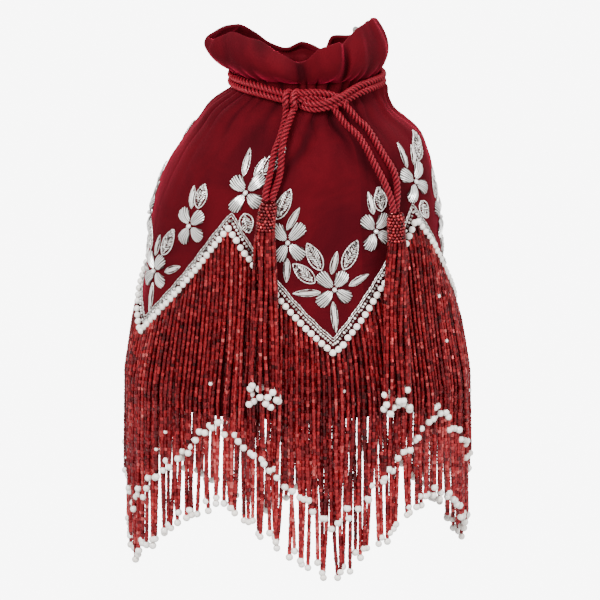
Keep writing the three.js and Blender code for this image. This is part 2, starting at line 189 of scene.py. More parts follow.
def between(a, b, c, d, u):
    """The smooth curve from b to c, with a before and d after them, at the share u."""
    return 0.5 * (2 * b + (c - a) * u + (2 * a - 5 * b + 4 * c - d) * u**2
                  + (3 * b - a - 3 * c + d) * u**3)


def lengths_along(line):
    """How far along a line each of its points lies."""
    return np.concatenate([[0], np.cumsum(np.linalg.norm(np.diff(line, axis=0), axis=1))])


def points_along(line, places):
    """Points of a line at those lengths along it."""
    along = lengths_along(line)
    return np.stack([np.interp(places, along, line[:, k]) for k in range(3)], axis=1)


def smooth_line(points, spacing):
    """Points of one smooth curve through the given ones, evenly spaced."""
    rough = np.array(points, float)
    ahead = np.vstack([2 * rough[0] - rough[1], rough, 2 * rough[-1] - rough[-2]])
    fine = []
    for n in range(len(rough) - 1):
        for u in np.linspace(0, 1, 24, endpoint=False):
            fine.append(between(*ahead[n:n + 4], u))
    fine.append(rough[-1])
    fine = np.array(fine)
    whole_length = lengths_along(fine)[-1]
    count = max(2, int(round(whole_length / spacing)) + 1)
    return points_along(fine, np.linspace(0, whole_length, count))


def carried_sides(line):
    """A side and a second side at each point, carried along without twist."""
    tangents = np.gradient(line, axis=0)
    tangents /= np.linalg.norm(tangents, axis=1)[:, None]
    side = np.cross(tangents[0], [0.3, 0.2, 1.0])
    side /= np.linalg.norm(side)
    sides = []
    for tangent in tangents:
        side = side - tangent * np.dot(side, tangent)
        side /= np.linalg.norm(side)
        sides.append(side.copy())
    sides = np.array(sides)
    return tangents, sides, np.cross(tangents, sides)


def plied_section(corners):
    """Radius of the cord at each corner of its section: one lobe to a ply."""
    angles = np.arange(corners) * 2 * math.pi / corners
    ply_centre = CORD_WIDTH / 2 * PLY_CENTRE
    ply_radius = CORD_WIDTH / 2 - ply_centre
    radii = np.zeros(corners)
    for ply in range(CORD_PLIES):
        turn = angles - ply * 2 * math.pi / CORD_PLIES
        reach = ply_radius**2 - (ply_centre * np.sin(turn)) ** 2
        lobe = np.where(reach > 0, ply_centre * np.cos(turn) + np.sqrt(np.abs(reach)), 0)
        radii = np.maximum(radii, lobe)
    return angles, np.maximum(radii, CORD_WIDTH * GROOVE_RADIUS)


def new_piece(name, mesh, material):
    """A new object that carries a finished mesh in its material, on the one body."""
    mesh.materials.append(material)
    made = bpy.data.objects.new(name, mesh)
    bpy.context.collection.objects.link(made)
    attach(made, "root")
    return made


def laid_cord(name, line, from_row, to_row):
    """One stretch of a twisted cord as a closed mesh, with its length along V."""
    tangents, first, second = carried_sides(line)
    angles, radii = plied_section(CORD_CORNERS)
    corners = len(angles)
    rows = []
    step = np.linalg.norm(line[1] - line[0])
    for n in range(from_row, to_row + 1):
        turned = angles + 2 * math.pi * n * step / CORD_LAY
        spokes = np.cos(turned)[:, None] * first[n] + np.sin(turned)[:, None] * second[n]
        rows.append(line[n] + spokes * radii[:, None])
    count = len(rows)
    spots = np.concatenate(rows + [line[from_row:from_row + 1], line[to_row:to_row + 1]])
    faces = []
    for n in range(count - 1):
        for k in range(corners):
            j = (k + 1) % corners
            faces.append((n * corners + k, n * corners + j,
                          (n + 1) * corners + j, (n + 1) * corners + k))
    middle = count * corners
    last = (count - 1) * corners
    for k in range(corners):
        j = (k + 1) % corners
        faces.append((middle, j, k))
        faces.append((middle + 1, last + k, last + j))
    mesh = bpy.data.meshes.new(name)
    mesh.from_pydata((spots * MM).tolist(), [], faces)
    wrap = mesh.uv_layers.new(name="wrap")
    for loop in mesh.loops:
        n, k = divmod(loop.vertex_index, corners)
        wrap.data[loop.index].uv = (k / corners * FIBRES_ROUND, n * step / CORD_WIDTH)
    # this share feeds the painted shade between the plies and the painted highlight on their tops
    height = (radii - radii.min()) / (radii.max() - radii.min())
    ridge = mesh.attributes.new("ridge", "FLOAT", "POINT")
    ridge.data.foreach_set("value", np.append(np.tile(height, count), [0.5, 0.5]))
    mesh.shade_smooth()
    made = new_piece(name, mesh, cord_material)
    return made


TAILS = {
    "tail_left_front": [
        (-8, -42, -8), (-9.8, -46.5, -11.5), (-11.5, -49.5, -15.5), (-13.5, -52.5, -20.5),
        (-15, -55.5, -26), (-16, -58, -32), (-16.5, -60, -37.5), (-16.8, -61.5, -42.5),
        (-17.5, -62.5, -47.5), (-19, -64, -52.5), (-20.8, -65.8, -57), (-21.8, -67, -60),
        (-22.4, -68.2, -63),
    ],
    "tail_left_rear": [
        (-13.4, -42, -7.5), (-13.5, -43.5, -12), (-14.5, -45.5, -17), (-16, -48.5, -22),
        (-18, -52, -27.5), (-20.5, -55.5, -33), (-22, -58, -38.5), (-23, -60.5, -43.5),
        (-24.2, -62.5, -49), (-25.4, -64.5, -54), (-26.4, -67, -58.5), (-26.9, -69, -63),
    ],
    "tail_right_front": [
        (24.5, -39.5, -7), (28.5, -40, -11.5), (32.5, -40, -16.5), (37, -40, -20.5),
        (40.5, -40.5, -25), (43.5, -42, -29.5), (46.5, -43.5, -34.5), (49.5, -44.2, -39.5),
        (52.8, -44.8, -44.5), (55.6, -45.8, -49.5), (57.4, -47.5, -55), (58, -50, -61),
        (57.7, -52.4, -67), (57, -53.8, -73.6),
    ],
    "tail_right_rear": [
        (18, -42, -9.5), (21, -43.5, -13.5), (24.5, -44.5, -18), (29, -45.5, -22),
        (33, -46, -26), (36.5, -47, -31), (39.5, -48, -36), (42, -49.4, -41),
        (44.5, -50.5, -45.5), (47.3, -51.5, -50.5), (50, -53, -55.5), (52.4, -55, -61),
        (54.4, -57, -67), (55.4, -58.2, -73.6),
    ],
}

# ---------------------------------------------------------------- neck cords and half knot
# Two cords lie side by side round the neck and are tied once at the front: the
# ends that come from the right pass over, behind and down on the left, and the
# ends that come from the left pass under them and come out on the right.
RING_HALF_WIDTH = 48.9
RING_DEPTH = 36.2


def round_the_back(level):
    """Points of the ring from the right end round the back to the left end."""
    points = []
    for angle in range(75, 286, 15):
        turn = math.radians(angle)
        points.append((RING_HALF_WIDTH * math.sin(turn), -RING_DEPTH * math.cos(turn), level))
    return points


NECK_ROUTES = {
    "upper": [
        (-8.4, -44, -6.5), (-9, -46.4, -4), (-8.8, -46.4, -1.4), (-8, -43.4, 1.4), (-6.4, -38.8, 1.4),
        (-4.8, -37, -1), (-2, -40, -4), (2, -44.5, -4.4), (8, -46.4, -4), (15, -45.5, -2.6),
        (22, -41, -1), (28, -34, 1), (34, -27.5, 2.8), (40, -21.5, 3.5),
        *round_the_back(3.2),
        (-40, -21.5, 3.5), (-32, -28.5, 2.8), (-22, -35, 1.6), (-12, -40.4, 0.6),
        (-4, -41.6, 1.6), (4, -42, 2.2), (12, -41.6, 1.2), (18, -40, -1), (22.5, -38.5, -4),
    ],
    "lower": [
        (-13.6, -44, -5.5), (-14, -46, -3.4), (-13.8, -46, -1.4), (-13, -43.4, 1.4), (-11.5, -38.4, 1.2),
        (-9, -36.6, -2), (-5, -38.5, -6.5), (0, -42, -8.2), (6, -44, -8.4), (13, -44, -7.2),
        (20, -41, -6), (27, -35, -4), (34, -28.5, -2), (40, -22.5, -1),
        *round_the_back(-1.4),
        (-40, -22.5, -1.2), (-32, -29, -1.8), (-22, -35.5, -2.8), (-13, -40.2, -3.8),
        (-5, -41.6, -2.8), (3, -41.2, -2), (10, -40.5, -2.6), (15.5, -40, -6),
    ],
}
TAIL_ENDS = {
    "upper": ("tail_left_front", "tail_right_front"),
    "lower": ("tail_left_rear", "tail_right_rear"),
}
CORD_STEP = 0.62
tail_cords = {}
tail_lines = {}
for level_name, route in NECK_ROUTES.items():
    left_tail, right_tail = TAIL_ENDS[level_name]
    whole = smooth_line(TAILS[left_tail][::-1] + route + TAILS[right_tail], CORD_STEP)
    left_row = int(np.argmin(np.linalg.norm(whole - TAILS[left_tail][0], axis=1)))
    right_row = int(np.argmin(np.linalg.norm(whole - TAILS[right_tail][0], axis=1)))
    neck_cord = laid_cord("neck_cord_" + level_name + "_laid", whole, left_row, right_row)
    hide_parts("neck_cord_" + level_name)
    if level_name == "upper":
        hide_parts("half_knot")
    tail_cords[left_tail] = laid_cord(left_tail + "_laid", whole, 0, left_row)
    tail_lines[left_tail] = whole[:left_row + 1][::-1] * MM
    tail_cords[right_tail] = laid_cord(right_tail + "_laid", whole, right_row, len(whole) - 1)
    tail_lines[right_tail] = whole[right_row:] * MM
    for tail in (left_tail, right_tail):
        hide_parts(tail)


# ---------------------------------------------------------------- velvet shell
# Two panels of cotton velvet sewn at the sides. The cord gathers them at the
# neck, and above it the doubled cloth stands as a soft ruffle, turned in at the rim.
DEPTH_RATIO = 0.72
BODY_PROFILE = [
    (-205.1, 106.0), (-198, 107.5), (-180, 105), (-147, 99.5), (-119, 95.5), (-90, 93),
    (-69, 89), (-49, 82), (-34, 74.6), (-22.5, 64), (-13, 55.5), (-5.5, 46.5), (0, 45.2),
    (5, 45.5),
]
BODY_SHIFT = -7
SHIFT_TOP = -10
SHIFT_BOTTOM = -90
NECK_SWAY = -4.2  # the shoulder leans over to the left just under the cord
NECK_SWAY_LEVEL = -19
NECK_SWAY_REACH = 9
NECK_TOP = 5

profile_line = smooth_line([(half, 0, level) for level, half in BODY_PROFILE], 0.8)


def half_width(level):
    """Half the width of the bag at a level."""
    return np.interp(level, profile_line[:, 2], profile_line[:, 0])


def body_shift(level):
    """How far to the right the middle of the bag lies at a level."""
    level = np.asarray(level, float)
    share = np.clip((level - SHIFT_BOTTOM) / (SHIFT_TOP - SHIFT_BOTTOM), 0, 1)
    sway = NECK_SWAY * np.exp(-((level - NECK_SWAY_LEVEL) / NECK_SWAY_REACH) ** 2)
    return BODY_SHIFT * (1 - share * share * (3 - 2 * share)) + sway


def oval_normal(angle):
    """The two level parts of the outward direction at an angle of the oval."""
    across, along = np.sin(angle), -np.cos(angle) / DEPTH_RATIO
    size = np.hypot(across, along)
    return across / size, along / size


# the rim of the ruffle, and its belly half way up, from the dip at the front round
# by the right
RIM = [
    (-4.8, -36, 19.2), (1, -39, 23), (7, -42, 29.7), (13.6, -44, 32.8), (20.8, -43, 34.8),
    (23.8, -37, 31.5), (27, -31, 35), (31.7, -25, 38.9), (37.5, -16, 40), (42.8, -5, 41),
    (45, 6, 38), (43, 17, 32), (35, 26, 24), (26, 30, 20.5), (16, 31, 20), (11, 29, 12),
    (3, 33, 14), (-4, 35, 15), (-14, 33, 12), (-24, 30, 16), (-34, 26, 24), (-43, 18, 31),
    (-51, 9, 33), (-59, 3, 31), (-65, -2, 28), (-61, -9, 27.8), (-54, -13, 32),
    (-47.7, -16, 34.9), (-38, -24, 33.5), (-28, -29, 31.3), (-18.6, -34, 26.6),
    (-11.3, -38, 22.9),
]
BELLY = [
    (-3.5, -36.5, 11), (1.5, -40, 13), (7, -45, 16), (13, -47, 17), (20, -46, 17),
    (24.5, -37, 15), (29, -40, 18), (35, -35, 20), (41, -26, 20), (51, -10, 21),
    (52, 4, 21), (47, 18, 18), (38, 27, 14), (27, 33, 12), (16, 36, 11), (10, 33, 8),
    (3, 37, 9), (-5, 38, 9), (-15, 36, 8), (-26, 34, 10), (-36, 29, 13), (-48, 22, 17),
    (-57, 12, 18), (-62, 5, 18), (-63, -2, 17), (-60, -11, 16), (-54, -20, 18),
    (-47, -28, 19), (-37, -36, 19), (-26, -42, 17), (-16, -44, 15), (-9, -42, 12),
]
COLUMNS = 320


def closed_curve(points, count):
    """Points of the closed smooth curve through the given ones, even by index."""
    ring = np.array(points, float)
    total = len(ring)
    places = np.arange(count) * total / count
    n = np.floor(places).astype(int)
    u = (places - n)[:, None]
    return between(*(ring[(n + k) % total] for k in (-1, 0, 1, 2)), u)


rim_curve = closed_curve(RIM, COLUMNS)
belly_curve = closed_curve(BELLY, COLUMNS)
column_angles = np.unwrap(np.arctan2(belly_curve[:, 0], -belly_curve[:, 1] / DEPTH_RATIO))

# the gathers: ridges of uneven width drawn up by the cord, that run out down the bag
PLEATS = 30
pleat_dice = np.random.default_rng(11)
pleat_widths = pleat_dice.uniform(0.6, 1.5, PLEATS)
pleat_edges = np.concatenate([[0], np.cumsum(pleat_widths)]) / pleat_widths.sum() * 2 * math.pi
pleat_reach = pleat_dice.uniform(9, 34, PLEATS)
pleat_rise = pleat_dice.uniform(0.6, 1.25, PLEATS)
GATHER_HEIGHT = 3.4
GATHER_MIDDLE = 0.62  # the share of a ridge that lies inside the plain bag
GATHER_START = -2  # the level below which the ridges run out
SIDE_ROLL = 5.5  # the soft roll that bulges out just under the cord at the right
SIDE_ROLL_ANGLE = math.radians(88)
SIDE_ROLL_SPREAD = 0.3
SIDE_ROLL_LEVEL = -5
SIDE_ROLL_REACH = 4.5

# soft folds that the gathers leave on the bag: angle where each starts and ends,
# the levels it runs between, its depth and its half-width
SOFT_FOLDS = [
    (13, -12, -8, -54, 4.4, 3), (18, 26, -9, -46, 2.8, 2.6), (16, 8, -12, -62, -2.4, 9),
    (21, 38, -14, -64, 3.2, 4), (-22, -34, -6, -46, 2.4, 6), (-40, -55, -5, -40, 2.2, 5),
    (60, 66, -5, -44, 2.2, 6), (78, 84, -5, -36, 2.0, 6), (-66, -74, -5, -40, 2.0, 7),
    (-90, -96, -5, -52, 2.2, 7), (104, 99, -5, -52, 2.6, 7), (128, 124, -5, -64, 2.6, 7),
    (150, 154, -5, -46, 2.4, 6), (172, 176, -5, -70, 2.8, 8), (196, 192, -5, -48, 2.2, 6),
    (218, 224, -5, -60, 2.6, 7), (242, 246, -5, -44, 2.4, 6),
]


def gathers(angle, level):
    """How far the gathers and folds lift the velvet, in mm, at an angle and level."""
    turn = (angle + 0.05 * np.sin(3 * angle)) % (2 * math.pi)
    ridge = np.clip(np.searchsorted(pleat_edges, turn, side="right") - 1, 0, PLEATS - 1)
    width = pleat_edges[ridge + 1] - pleat_edges[ridge]
    place = (turn - pleat_edges[ridge]) / width
    drop = np.maximum(0, GATHER_START - level)
    swell = np.sin(math.pi * place) ** 0.8 - GATHER_MIDDLE
    lift = GATHER_HEIGHT * pleat_rise[ridge] * np.exp(-drop / pleat_reach[ridge]) * swell
    side = (angle - SIDE_ROLL_ANGLE + math.pi) % (2 * math.pi) - math.pi
    roll = SIDE_ROLL * np.exp(-(side / SIDE_ROLL_SPREAD) ** 2)
    roll = roll * np.exp(-((level - SIDE_ROLL_LEVEL) / SIDE_ROLL_REACH) ** 2)
    for start, end, top, low, depth, half in SOFT_FOLDS:
        run = np.clip((top - level) / (top - low), 0, 1)
        middle = math.radians(start) + math.radians(end - start) * run
        away = (angle - middle + math.pi) % (2 * math.pi) - math.pi
        distance = away * half_width(level) * (1 + DEPTH_RATIO) / 2
        spread = half * (1 + 0.9 * run)
        fade = np.where(level < low, 0, np.sin(math.pi * np.clip(run * 0.9 + 0.1, 0, 1)) ** 0.8)
        lift = lift - depth * fade * np.exp(-(distance / spread) ** 2)
    return lift + roll


def slack(angle, level):
    """The slow waves of soft cloth below the gathers, in mm."""
    depth = np.clip((-20 - level) / 40, 0, 1)
    broad = 0.7 * np.sin(5 * angle + level / 31)
    narrow = 0.5 * np.sin(8 * angle - level / 23 + 1)
    return depth * (broad + narrow)


def body_points(angle, level, stand_off):
    """Points of the velvet, or that far off it, at the oval's own angles."""
    level = np.broadcast_to(np.asarray(level, float), np.shape(angle))
    half = half_width(level)
    out_x, out_y = oval_normal(angle)
    out = stand_off + gathers(angle, level) + slack(angle, level)
    x = body_shift(level) + half * np.sin(angle) + out_x * out
    y = -half * DEPTH_RATIO * np.cos(angle) + out_y * out
    return np.stack([x, y, level], axis=-1)


outer_rows = []
body_levels = [np.linspace(BODY_PROFILE[0][0], -62, 40), np.linspace(-59, -8, 30),
               np.linspace(-6, NECK_TOP, 8)]
for level in np.concatenate(body_levels):
    outer_rows.append(body_points(column_angles, level, 0))
neck_ring = outer_rows[-1]
ruffle_dice = np.random.default_rng(5)
ripple_phase = ruffle_dice.uniform(0, 2 * math.pi, 3)
out_x, out_y = oval_normal(column_angles)
for share in np.linspace(0, 1, 22)[1:]:
    ring = (neck_ring * (2 * share**2 - 3 * share + 1) + belly_curve * (4 * share - 4 * share**2)
            + rim_curve * (2 * share**2 - share))
    ripple = 0.5 * share * (np.sin(13 * column_angles + ripple_phase[0])
                            + 0.7 * np.sin(21 * column_angles + ripple_phase[1] + 3 * share))
    ring = ring + np.stack([out_x * ripple, out_y * ripple, 0 * out_x], axis=1)
    outer_rows.append(ring)

skin = np.array(outer_rows)
across = np.roll(skin, -1, axis=1) - np.roll(skin, 1, axis=1)
upward = np.gradient(skin, axis=0)
normals = np.cross(across, upward)
normals /= np.linalg.norm(normals, axis=2)[:, :, None]

# the wall: the cloth turns over at the rim, comes down inside the ruffle to just
# above the cord, and goes on as a single layer
RUFFLE_WALL = 2.4
VELVET_WALL = 1.4
FACING_END = 46
rim_normals = normals[-1]
rim_up = upward[-1] / np.linalg.norm(upward[-1], axis=1)[:, None]
turn_rows = []
for turn in (35, 90, 145):
    swing = math.radians(turn)
    back = -rim_normals * RUFFLE_WALL / 2 * (1 - math.cos(swing))
    turn_rows.append(skin[-1] + back + rim_up * RUFFLE_WALL / 2 * math.sin(swing))
inner_ruffle = skin[:FACING_END - 1:-1][::-1] - normals[FACING_END:] * RUFFLE_WALL
inner_rows = list(inner_ruffle[::-1])
inner_body = [skin[n] - normals[n] * VELVET_WALL for n in range(FACING_END - 2, -1, -4)]
shell_rows = np.array(outer_rows + turn_rows + inner_rows + inner_body)


def velvet_finish(name, dark, light, tint):
    made, tree, shader = new_material(name)
    coords = tree.nodes.new("ShaderNodeTexCoord")
    brushed = tree.nodes.new("ShaderNodeTexNoise")
    brushed.inputs["Scale"].default_value = 26
    brushed.inputs["Detail"].default_value = 5
    brushed.inputs["Roughness"].default_value = 0.62
    brushed.inputs["Distortion"].default_value = 0.7
    ramp = tree.nodes.new("ShaderNodeValToRGB")
    ramp.color_ramp.elements[0].position = 0.34
    ramp.color_ramp.elements[0].color = dark
    ramp.color_ramp.elements[1].position = 0.72
    ramp.color_ramp.elements[1].color = light
    pile = tree.nodes.new("ShaderNodeTexNoise")
    pile.inputs["Scale"].default_value = 1900
    pile.inputs["Detail"].default_value = 2
    crush = tree.nodes.new("ShaderNodeTexNoise")
    crush.inputs["Scale"].default_value = 95
    crush.inputs["Detail"].default_value = 4
    mixed = tree.nodes.new("ShaderNodeMath")
    mixed.operation = "MULTIPLY_ADD"
    mixed.inputs[1].default_value = 0.35
    bump = tree.nodes.new("ShaderNodeBump")
    bump.inputs["Strength"].default_value = 0.55
    bump.inputs["Distance"].default_value = 0.0007
    links = tree.links
    for texture in (brushed, pile, crush):
        links.new(coords.outputs["Object"], texture.inputs["Vector"])
    links.new(brushed.outputs["Fac"], ramp.inputs["Fac"])
    # painted shade: the fold_shade attribute darkens the velvet's colour down in its folds
    folds = tree.nodes.new("ShaderNodeAttribute")
    folds.attribute_name = "fold_shade"
    deepened = tree.nodes.new("ShaderNodeMixRGB")
    deepened.blend_type = "MULTIPLY"
    deepened.inputs["Color2"].default_value = (0.42, 0.5, 0.5, 1)
    links.new(folds.outputs["Fac"], deepened.inputs["Fac"])
    links.new(ramp.outputs["Color"], deepened.inputs["Color1"])
    links.new(deepened.outputs["Color"], shader.inputs["Base Color"])
    links.new(pile.outputs["Fac"], mixed.inputs[0])
    links.new(crush.outputs["Fac"], mixed.inputs[2])
    links.new(mixed.outputs["Value"], bump.inputs["Height"])
    links.new(bump.outputs["Normal"], shader.inputs["Normal"])
    shader.inputs["Roughness"].default_value = 0.85
    shader.inputs["Specular IOR Level"].default_value = 0.12
    shader.inputs["Specular Tint"].default_value = (1, 0.4, 0.5, 1)
    shader.inputs["Sheen Weight"].default_value = 1.0
    shader.inputs["Sheen Roughness"].default_value = 0.3
    shader.inputs["Sheen Tint"].default_value = tint
    return made


velvet_material = velvet_finish("crimson_velvet", (0.041, 0.0011, 0.0029, 1),
                                (0.074, 0.0018, 0.0045, 1), (0.60, 0.020, 0.065, 1))


def faces_outward(merge_within=0):
    """Turns the active piece's faces outwards, after its doubled corners are merged."""
    bpy.ops.object.mode_set(mode="EDIT")
    bpy.ops.mesh.select_all(action="SELECT")
    if merge_within:
        bpy.ops.mesh.remove_doubles(threshold=merge_within)
    bpy.ops.mesh.normals_make_consistent(inside=False)
    bpy.ops.object.mode_set(mode="OBJECT")


def woven_shell(name, rows, material):
    """A cloth shell from rings of points; its last ring joins its first."""
    ring_count, column_count = rows.shape[:2]
    bpy.ops.object.select_all(action="DESELECT")
    bpy.ops.mesh.primitive_grid_add(x_subdivisions=column_count, y_subdivisions=ring_count,
                                    size=1)
    made = bpy.context.object
    made.name = name
    mesh = made.data
    stitched = np.concatenate([rows, rows[:, :1]], axis=1)
    stitched = np.concatenate([stitched, stitched[:1]], axis=0)
    mesh.vertices.foreach_set("co", (stitched.reshape(-1, 3) * MM).ravel())
    faces_outward(merge_within=1e-6)
    mesh.shade_smooth()
    mesh.materials.append(material)
    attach(made, "root")
    return made


velvet = woven_shell("velvet_shell", shell_rows, velvet_material)
# painted shade: the velvet's colour is darkened down in each fold, where the shade falls; each ring is
# compared with its own smoothed shape
FOLD_COLUMNS = 16
FOLD_SPREAD = 9
FULL_FOLD = 1.5  # the depth in mm that has the whole shade
SHALLOW_FOLD = 0.08  # the share of it that has none
shade_of = {}
evener = np.exp(-(np.arange(-FOLD_COLUMNS, FOLD_COLUMNS + 1) / FOLD_SPREAD) ** 2)
evener /= evener.sum()
for row in outer_rows:
    middle = row.mean(axis=0)
    radius = np.linalg.norm((row - middle)[:, :2], axis=1)
    padded = np.concatenate([radius[-FOLD_COLUMNS:], radius, radius[:FOLD_COLUMNS]])
    depth = np.convolve(padded, evener, mode="valid") - radius
    for spot, value in zip(row, np.clip(depth / FULL_FOLD - SHALLOW_FOLD, 0, 1)):
        shade_of[tuple(np.round(spot, 2))] = value
fold_shade = velvet.data.attributes.new("fold_shade", "FLOAT", "POINT")
fold_shade.data.foreach_set("value", [
    shade_of.get(tuple(np.round(np.array(corner.co) / MM, 2)), 0)
    for corner in velvet.data.vertices])
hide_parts("velvet_front", "velvet_back")


# ---------------------------------------------------------------- base and board
# The oval base is velvet over a stiff board, sewn to the panels all round, so
# its edge is a soft roll. The board itself lies inside and carries its own card.
BASE_TOP = -205.4
BASE_LEVEL = -207
BASE_HALF_WIDTH = 106

bpy.ops.object.select_all(action="DESELECT")
bpy.ops.mesh.primitive_cylinder_add(vertices=160, radius=1, depth=BASE_TOP - BASE_LEVEL,
                                    end_fill_type="TRIFAN")
base = bpy.context.object
base.name = "base_cover"
bpy.ops.transform.resize(value=(BASE_HALF_WIDTH, BASE_HALF_WIDTH * DEPTH_RATIO, 1))
bpy.ops.transform.translate(value=(BODY_SHIFT, 0, (BASE_TOP + BASE_LEVEL) / 2))
bpy.ops.object.transform_apply(location=True, rotation=False, scale=True)
soft_edge = base.modifiers.new("soft_edge", "BEVEL")
soft_edge.width = 0.7
soft_edge.segments = 3
soft_edge.limit_method = "ANGLE"
bpy.ops.object.modifier_apply(modifier="soft_edge")
base.data.transform(Matrix.Scale(MM, 4))
base.data.shade_smooth()
base.data.materials.append(velvet_material)
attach(base, "root")
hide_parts("base_panel")


def plain_finish(name, dark, light, roughness, scale):
    """A material with soft flecks between two colours, and its shader."""
    made, tree, shader = new_material(name)
    coords = tree.nodes.new("ShaderNodeTexCoord")
    fleck = tree.nodes.new("ShaderNodeTexNoise")
    fleck.inputs["Scale"].default_value = scale
    fleck.inputs["Detail"].default_value = 4
    ramp = tree.nodes.new("ShaderNodeValToRGB")
    ramp.color_ramp.elements[0].position = 0.35
    ramp.color_ramp.elements[0].color = dark
    ramp.color_ramp.elements[1].position = 0.68
    ramp.color_ramp.elements[1].color = light
    tree.links.new(coords.outputs["Object"], fleck.inputs["Vector"])
    tree.links.new(fleck.outputs["Fac"], ramp.inputs["Fac"])
    tree.links.new(ramp.outputs["Color"], shader.inputs["Base Color"])
    shader.inputs["Roughness"].default_value = roughness
    return made, shader


board_material, _ = plain_finish("grey_card", (0.2, 0.18, 0.16, 1), (0.34, 0.31, 0.27, 1), 0.9, 180)
base_board = bpy.data.objects["base_board"]
base_board.data.materials.clear()
base_board.data.materials.append(board_material)


# ---------------------------------------------------------------- lining
# A loose satin bag sewn in under the cord: it hangs a little off the velvet, in
# soft upright folds, and its floor lies on the board.
LINING_WALL = 0.7
LINING_GAP = 0.7  # the least distance from the velvet's inner side
LINING_TOP_ROW = 64
LINING_FLOOR = -202.3
satin_material, satin_shader = plain_finish(
    "wine_satin", (0.10, 0.004, 0.012, 1), (0.17, 0.008, 0.02, 1), 0.34, 60)
satin_shader.inputs["Sheen Weight"].default_value = 0.4
satin_shader.inputs["Sheen Tint"].default_value = (1, 0.5, 0.5, 1)

lining_rows = []
lining_columns = skin[:, ::2]
lining_normals = normals[:, ::2]
lining_turn = column_angles[::2]
for n in range(2, LINING_TOP_ROW, 2):
    fold = 0.7 * (1 + np.sin(34 * lining_turn + 0.4 * n)) + 0.5 * (1 + np.sin(13 * lining_turn))
    inset = (VELVET_WALL + LINING_GAP + fold)[:, None]
    lining_rows.append(lining_columns[n] - lining_normals[n] * inset)
floor_middle = lining_rows[0].mean(axis=0)
floor_rows = []
for share in (0.97, 0.7, 0.35, 0.02):
    ring = floor_middle + (lining_rows[0] - floor_middle) * share
    ring[:, 2] = LINING_FLOOR
    floor_rows.append(ring)
outside = floor_rows[::-1] + lining_rows
inside = []
for ring in lining_rows[::-1]:
    middle = ring.mean(axis=0)
    inward = (ring - middle) / np.linalg.norm((ring - middle)[:, :2], axis=1)[:, None]
    inward[:, 2] = 0
    inside.append(ring - inward * LINING_WALL)
for ring in floor_rows:
    inside.append((ring - floor_middle) * 0.985 + floor_middle + (0, 0, LINING_WALL))
lining = woven_shell("lining_bag", np.array(outside + inside), satin_material)
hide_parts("lining")


# ---------------------------------------------------------------- pearl and silver trim
# A couched zigzag all round: round pearls, one to each strand of the fringe,
# then a row of small silver beads and two lines of silver wire above them.
POINT_SPAN = 90
POINT_ANGLE = 13.9  # where the front point of the zigzag lies
POINT_LEVEL = -164
PEAK_LEVEL = -82
UNEVENNESS = 4.64  # how far the oval's angle runs ahead of its arc, in degrees
STRANDS = 176
STRAND_ANGLE = 360 / STRANDS
PEARL_WIDTH = 4.6
TIP_ROUND = 0.025
LIMB_SAG = 3.3
FRONT_DRAWN = (0, 46.8, 90, 360)  # the front point lies a little right of its peaks' middle
FRONT_EVEN = (0, 45, 90, 360)


def oval_angle(arc_angle):
    """The oval's own angle, in radians, for even steps of arc given in degrees."""
    angle = np.asarray(arc_angle, float)
    for _ in range(8):
        angle = arc_angle - UNEVENNESS * np.sin(np.radians(2 * angle))
    return np.radians(angle)


def zigzag_level(arc_angle):
    """The level of the middle of the pearl row."""
    turned = (np.asarray(arc_angle, float) - POINT_ANGLE + POINT_SPAN / 2) % 360
    turned = np.interp(turned, FRONT_DRAWN, FRONT_EVEN) % POINT_SPAN
    from_point = np.abs(turned - POINT_SPAN / 2) / (POINT_SPAN / 2)
    sag = LIMB_SAG * np.sin(math.pi * from_point)
    rise = np.hypot(from_point, TIP_ROUND) - np.hypot(1 - from_point, TIP_ROUND)
    return (POINT_LEVEL + PEAK_LEVEL) / 2 + (PEAK_LEVEL - POINT_LEVEL) / 2 * rise - sag


def on_body(arc_angle, level, stand_off):
    """Points that stand off the velvet, at arc angles given in degrees."""
    return body_points(oval_angle(np.asarray(arc_angle, float)), level, stand_off)


def template_of(made):
    """Corners and faces of a small mesh made with the operators, which is then dropped."""
    mesh = made.data
    corners = np.array([corner.co[:] for corner in mesh.vertices])
    faces = [tuple(face.vertices) for face in mesh.polygons]
    bpy.data.objects.remove(made)
    bpy.data.meshes.remove(mesh)
    return corners, faces


def tint_corners(mesh, tints):
    """Stores a tint for each corner, from dark 0 to bright 1, for the bead materials."""
    stored = mesh.attributes.new("tint", "FLOAT", "POINT")
    stored.data.foreach_set("value", tints)


def copies(name, template, places, turns, tints, material, smooth):
    """One mesh of many copies; turns are 3 x 3 matrices that also carry the size."""
    corners, faces = template
    count = len(places)
    spots = np.einsum("nij,kj->nki", turns, corners) + np.asarray(places)[:, None]
    sizes = np.array([len(face) for face in faces])
    flat = np.concatenate([np.array(face) for face in faces])
    loops = (flat[None] + np.arange(count)[:, None] * len(corners)).ravel()
    starts = np.concatenate([[0], np.cumsum(np.tile(sizes, count))[:-1]])
    mesh = bpy.data.meshes.new(name)
    mesh.vertices.add(count * len(corners))
    mesh.vertices.foreach_set("co", (spots * MM).ravel())
    mesh.loops.add(len(loops))
    mesh.loops.foreach_set("vertex_index", loops)
    mesh.polygons.add(count * len(faces))
    mesh.polygons.foreach_set("loop_start", starts)
    mesh.update(calc_edges=True)
    tint_corners(mesh, np.repeat(np.asarray(tints, float), len(corners)))
    mesh.polygons.foreach_set("use_smooth", np.full(len(mesh.polygons), smooth))
    return new_piece(name, mesh, material)


def joined(name, parts):
    """Joins pieces into the first and gives it the name."""
    bpy.ops.object.select_all(action="DESELECT")
    for part in parts:
        part.select_set(True)
    bpy.context.view_layer.objects.active = parts[0]
    bpy.ops.object.join()
    parts[0].name = name
    return parts[0]


